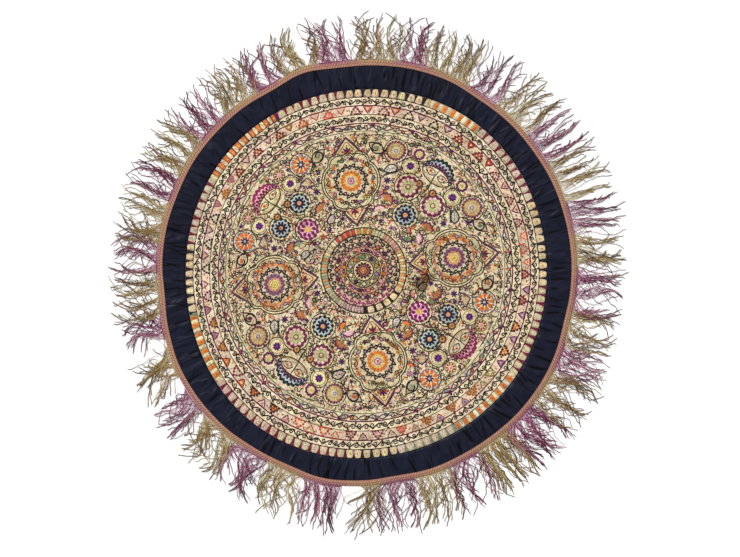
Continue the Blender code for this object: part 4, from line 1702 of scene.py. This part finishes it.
# The steps of one rib: its rise, and its painted shade, darker in the groove and lighter on the crest
RIB_STEPS = ((0.0, 0.46), (0.5, 0.80), (0.9, 1.08), (1.0, 1.24), (0.9, 1.06), (0.5, 0.78))
BRAID_TAN = dye(176, 130, 110)
# Painted shade at the braid's inner edge, in the groove along its middle and on its inner side
BRAID_SHADE = dye(120, 82, 74)
BRAID_PALE = dye(204, 160, 134)
OLIVE_TINT = dye(170, 142, 92)
MAUVE_TINT = dye(158, 92, 112)

braid_in = smooth_round(rim_of("braid", 0.0022, outer=False))
braid_out = smooth_round(rim_of("braid", 0.0007))
braid_top = top_of("braid")


def middle_of(node):
    """The direction in which a fringe block lies, and how far it reaches to each side of that, in degrees."""
    corners = [corner.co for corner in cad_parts[node].data.vertices]
    near = min(math.hypot(corner.x, corner.y) for corner in corners)
    foot = [corner for corner in corners if math.hypot(corner.x, corner.y) < near + BLOCK_FOOT]
    across, up = sum(corner.x for corner in foot), sum(corner.y for corner in foot)
    middle = math.degrees(math.atan2(up, across)) % 360
    turns = [turned(math.degrees(math.atan2(corner.y, corner.x)), middle) for corner in foot]
    return middle, min(turns), max(turns)


blocks = [(node, *middle_of(node)) for node in sorted(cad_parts) if node.startswith("fringe_")]


def dye_at(angle):
    """The tint that the fringe gives to the braid here."""
    node = min(blocks, key=lambda block: abs(turned(angle, block[1])))[0]
    return OLIVE_TINT if node.endswith("olive") else MAUVE_TINT


# Columns: share of the braid's width, rise of the ribs, colour, how far the fringe's dye has soaked in
# The dark rows at the inner edge and in the middle groove are painted shade.
BRAID_ROWS = (
    (0.015, 0.0, BRAID_SHADE, 0.0),
    (0.10, 0.8, BRAID_TAN, 0.0),
    (0.30, 1.0, BRAID_TAN, 0.1),
    (0.385, 0.5, BRAID_PALE, 0.15),
    (0.46, 0.2, BRAID_SHADE, 0.2),
    (0.60, 1.0, BRAID_TAN, 0.3),
    (0.82, 1.0, BRAID_TAN, 0.55),
    (0.985, 0.0, BRAID_TAN, 0.9),
)


def braid_section(angle):
    """The braid cut across, upper side first. The ribs slant by one step from row to row."""
    near, far = braid_in(angle), braid_out(angle)
    step_at = satin_out(angle) + RIM_EASE
    step = round(angle * BRAID_STEPS / 360)
    section = []
    for row, (share, swell, _, _) in enumerate(BRAID_ROWS):
        radius = near + (far - near) * share
        ridge = RIB * RIB_STEPS[(step + row) % len(RIB_STEPS)][0]
        section.append((radius, height_at(braid_top, *polar(radius, angle)) + BRAID_RISE + ridge * swell))
    near, far = section[0][0], section[-1][0]
    return section + [(far, BRAID_FOOT), (step_at, BRAID_FOOT), (step_at, BRAID_LAP), (near, BRAID_LAP)]


tape, tape_shader, tree = new_material("ribbed braid", 0.75)
flecks = noise(tree, object_place(tree), 700.0)
flecked = tinted(tree, ramp(tree, flecks, 0.42, 0.68), colour_and_shade(tree), dye(190, 176, 168))
feed(tree, tape_shader.inputs["Base Color"], flecked)
raise_surface(tree, tape_shader, flecks, 0.5, STITCH_DEEP)

points, faces = round_band(BRAID_STEPS, braid_section)
braid = add_piece("ribbed_braid", points, faces, tape)
chance = random.Random(5)
colours = []
for step in range(BRAID_STEPS):
    tint = dye_at(360 * step / BRAID_STEPS + chance.uniform(-1.6, 1.6))
    worn = chance.uniform(0.9, 1.08)
    for row, (_, _, colour, soaked) in enumerate(BRAID_ROWS):
        # Painted shade and highlight of the ribs, on a tone that differs at random from step to step
        shade = worn * RIB_STEPS[(step + row) % len(RIB_STEPS)][1]
        colours.append(tuple((part + (dyed - part) * soaked) * shade for part, dyed in zip(colour, tint)))
    # The outer side takes the fringe's tint, and the inner side, over the satin, painted shade
    colours += [tint, tint, BRAID_SHADE, BRAID_SHADE]
add_colours_and_shade(braid, colours)
add_map(braid, "OFBake", from_above(points, BRAID_MAP))
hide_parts("braid")


# The fringe: loose silk threads in blocks of olive gold and of mauve by turns, each block knotted along its
# own foot. The threads are crimped where they were unravelled, cling in locks, and stray at their ends.
CORD_STEPS = 30
CORD_HALF = 0.00050
STRAND_PITCH = 0.46
FOOT_GAP = 0.0009
HIGHEST, LOWEST = 0.0021, 0.0007
CRIMP = 0.0008
# Shares: threads that stray, how much browner a tip is, how much darker a tip is, the brightness of a foot
STRAYS = 0.27
TIP_BROWNED, TIP_DARKER, FOOT_BRIGHT = 0.42, 0.26, 1.08
FINE_CRIMP = 0.55
FOOT_STEPS = 24
FOOT_OUT, FOOT_HEIGHT, FOOT_HALF = 0.0016, 0.0006, 0.0009
# An end of a lock is a corner that no neighbour is further out than, and that is well off the foot
FURTHER_OUT, OFF_FOOT = 0.0003, 0.02
CORD_MAP = 0.94
FOOT_MAP = (0.95, 0.04)
# The fourth dye of each is the pale one at the foot
OLIVE_DYES = (
    dye(132, 108, 58),
    dye(156, 132, 76),
    dye(170, 146, 90),
    dye(212, 192, 142),
    dye(78, 60, 38),
    dye(128, 90, 54),
)
MAUVE_DYES = (
    dye(104, 38, 72),
    dye(134, 62, 96),
    dye(116, 34, 74),
    dye(166, 94, 126),
    dye(66, 28, 48),
    dye(204, 152, 172),
)
TIP_BROWN = dye(78, 50, 38)
# Columns: angle where the stretch starts, threads to the degree, curl, share of a lock's length at its waist
FRINGE_STRETCHES = (
    (0, 6.3, 1.0, 0.80),
    (12, 5.5, 0.5, 0.95),
    (30, 6.3, 0.5, 0.95),
    (41, 5.1, 0.9, 0.85),
    (61, 6.9, 0.9, 0.85),
    (75, 5.5, 1.3, 0.65),
    (102, 6.7, 1.3, 0.55),
    (118, 6.5, 1.0, 0.50),
    (150, 6.7, 1.2, 0.60),
    (180, 6.2, 1.4, 0.70),
    (222, 5.6, 1.5, 0.65),
    (250, 6.5, 0.7, 0.90),
    (262, 6.0, 1.2, 0.70),
    (300, 13.0, 0.8, 0.70),
    (314, 9.8, 1.0, 0.70),
    (324, 6.2, 1.2, 0.70),
    (348, 5.6, 1.5, 0.75),
)


def tips_of(node, middle):
    """The far ends of a block's locks as (angle from its middle, radius) pairs, in order round the cloth."""
    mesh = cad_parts[node].data
    reach = [math.hypot(corner.co.x, corner.co.y) for corner in mesh.vertices]
    beaten = [False] * len(reach)
    for edge in mesh.edges:
        first, second = edge.vertices
        if abs(reach[first] - reach[second]) > FURTHER_OUT:
            beaten[first if reach[first] < reach[second] else second] = True
    tips = []
    for corner, lost in zip(mesh.vertices, beaten):
        if not lost and reach[corner.index] > min(reach) + OFF_FOOT:
            angle = math.degrees(math.atan2(corner.co.y, corner.co.x))
            tips.append((turned(angle, middle), reach[corner.index]))
    return sorted(tips)


def between(pairs, share):
    """The pair at this share of the way along a list of pairs."""
    place = share * (len(pairs) - 1)
    here = min(int(place), len(pairs) - 2)
    return [first + (second - first) * (place - here) for first, second in zip(pairs[here], pairs[here + 1])]


class Fringe:
    """Gathers the threads of one block."""

    def __init__(self):
        self.points, self.faces, self.colours, self.places = [], [], [], []

    def thread(self, path, half, colour, column, wide):
        """Lays a three-sided thread along a path. column and wide are its strip of the texture map."""
        first = len(self.points)
        for here, (x, y, z) in enumerate(path):
            before, after = path[max(here - 1, 0)], path[min(here + 1, len(path) - 1)]
            along, up = after[0] - before[0], after[1] - before[1]
            length = math.hypot(along, up) or 1.0
            along_it = here / (len(path) - 1)
            thick = half * (0.74 + 0.6 * min(1.0, along_it * 1.3)) * (0.6 if along_it == 1 else 1.0)
            side_x, side_y = -up / length * thick, along / length * thick
            self.points += [(x + side_x, y + side_y, z), (x, y, z + thick), (x - side_x, y - side_y, z)]
            shade, brown = FOOT_BRIGHT - TIP_DARKER * along_it, TIP_BROWNED * along_it**2
            aged = tuple((part + (tip - part) * brown) * shade for part, tip in zip(colour, TIP_BROWN))
            self.colours += [aged] * 3
            self.places += [(column + wide * spread, along_it) for spread in (0.1, 0.5, 0.9)]
        for here in range(first, len(self.points) - 3, 3):
            self.faces += [
                (here, here + 1, here + 4, here + 3),
                (here + 1, here + 2, here + 5, here + 4),
                (here + 2, here, here + 3, here + 5),
            ]
        self.faces += [(first, first + 2, first + 1), (here + 3, here + 4, here + 5)]


floss, floss_shader, tree = new_material("fringe silk", 0.6)
feed(tree, floss_shader.inputs["Base Color"], colour_and_shade(tree))

chance = random.Random(211)
for node, middle, start, end in blocks:
    olive = node.endswith("olive")
    dyes = OLIVE_DYES if olive else MAUVE_DYES
    tips = tips_of(node, middle)
    _, to_degree, curled, waist = stretch_at(FRINGE_STRETCHES, middle, 0)
    count = int((end - start) * to_degree)
    lock_count = max(2, round((end - start) / chance.uniform(2.4, 3.6)))
    locks = [(lock + chance.uniform(0.15, 0.85)) / lock_count for lock in range(lock_count)]
    manners = {}
    for lock in locks:
        bend, twist = chance.uniform(-1.5, 1.5) * curled, chance.uniform(-0.7, 0.7) * curled
        manners[lock] = (bend, twist, chance.uniform(0.1, 0.9))
    block = Fringe()
    for number in range(count):
        share = (number + 0.5) / count
        root_angle = start + (end - start) * share
        root_angle = round(root_angle / STRAND_PITCH) * STRAND_PITCH + chance.uniform(-0.08, 0.08)
        tip_angle, tip_reach = between(tips, share)
        lock = min(locks, key=lambda place: abs(place - share))
        lock_tip = between(tips, lock)[0]
        bend, twist, spread = manners[lock]
        bend += chance.uniform(-0.5, 0.5) * curled
        pull = chance.uniform(0.5, 1.0)
        near = braid_out(middle + root_angle) + FOOT_GAP
        reach = tip_reach + chance.uniform(-0.009, 0.008)
        crimp = CRIMP * chance.uniform(0.6, 1.4) * math.sqrt(curled)
        if chance.random() < STRAYS:
            bend, twist = chance.uniform(-3.0, 3.0) * curled, chance.uniform(-1.3, 1.3) * curled
            pull = chance.uniform(-0.5, 0.3)
            reach = tip_reach + chance.uniform(-0.006, 0.014)
        phase = 40 * lock + chance.uniform(-1.3, 1.3)
        waves, fine_waves = chance.uniform(2.2, 4.4), chance.uniform(6.0, 8.0)
        height = chance.uniform(LOWEST, HIGHEST)
        path = []
        for step in range(CORD_STEPS + 1):
            along = step / CORD_STEPS
            gathered = math.sin(math.pi / 2 * min(1.0, along / waist))
            gathered *= 1 - spread * max(0.0, along - waist) / (1 - waist)
            angle = root_angle + (tip_angle - root_angle) * along + (lock_tip - tip_angle) * pull * gathered
            angle += bend * math.sin(math.pi * along) + twist * math.sin(2 * math.pi * along)
            radius = near + (reach - near) * along
            sway = math.sin(2 * math.pi * waves * along + phase)
            sway += FINE_CRIMP * math.sin(2 * math.pi * fine_waves * along)
            sway *= crimp * min(1.1, 2.6 * along)
            x, y = polar(radius, middle + angle)
            sideways = math.radians(middle + angle + 90)
            lift = LOWEST + FOOT_HEIGHT + (height - LOWEST) * math.sin(math.pi * min(1.0, along * 1.1))
            path.append((x + sway * math.cos(sideways), y + sway * math.sin(sideways), lift))
        colour = tuple(part * chance.uniform(0.9, 1.1) for part in chance.choice(dyes))
        half = CORD_HALF * chance.uniform(0.8, 1.25)
        block.thread(path, half, colour, CORD_MAP * number / count, CORD_MAP / count)
    foot = []
    for step in range(FOOT_STEPS + 1):
        angle = middle + start + (end - start) * step / FOOT_STEPS
        foot.append((*polar(braid_out(angle) + FOOT_OUT, angle), FOOT_HEIGHT))
    block.thread(foot, FOOT_HALF, dyes[3], *FOOT_MAP)
    fringe = add_piece(node + "_threads", block.points, block.faces, floss)
    add_colours_and_shade(fringe, block.colours)
    add_map(fringe, "OFBake", block.places)
    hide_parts(node)
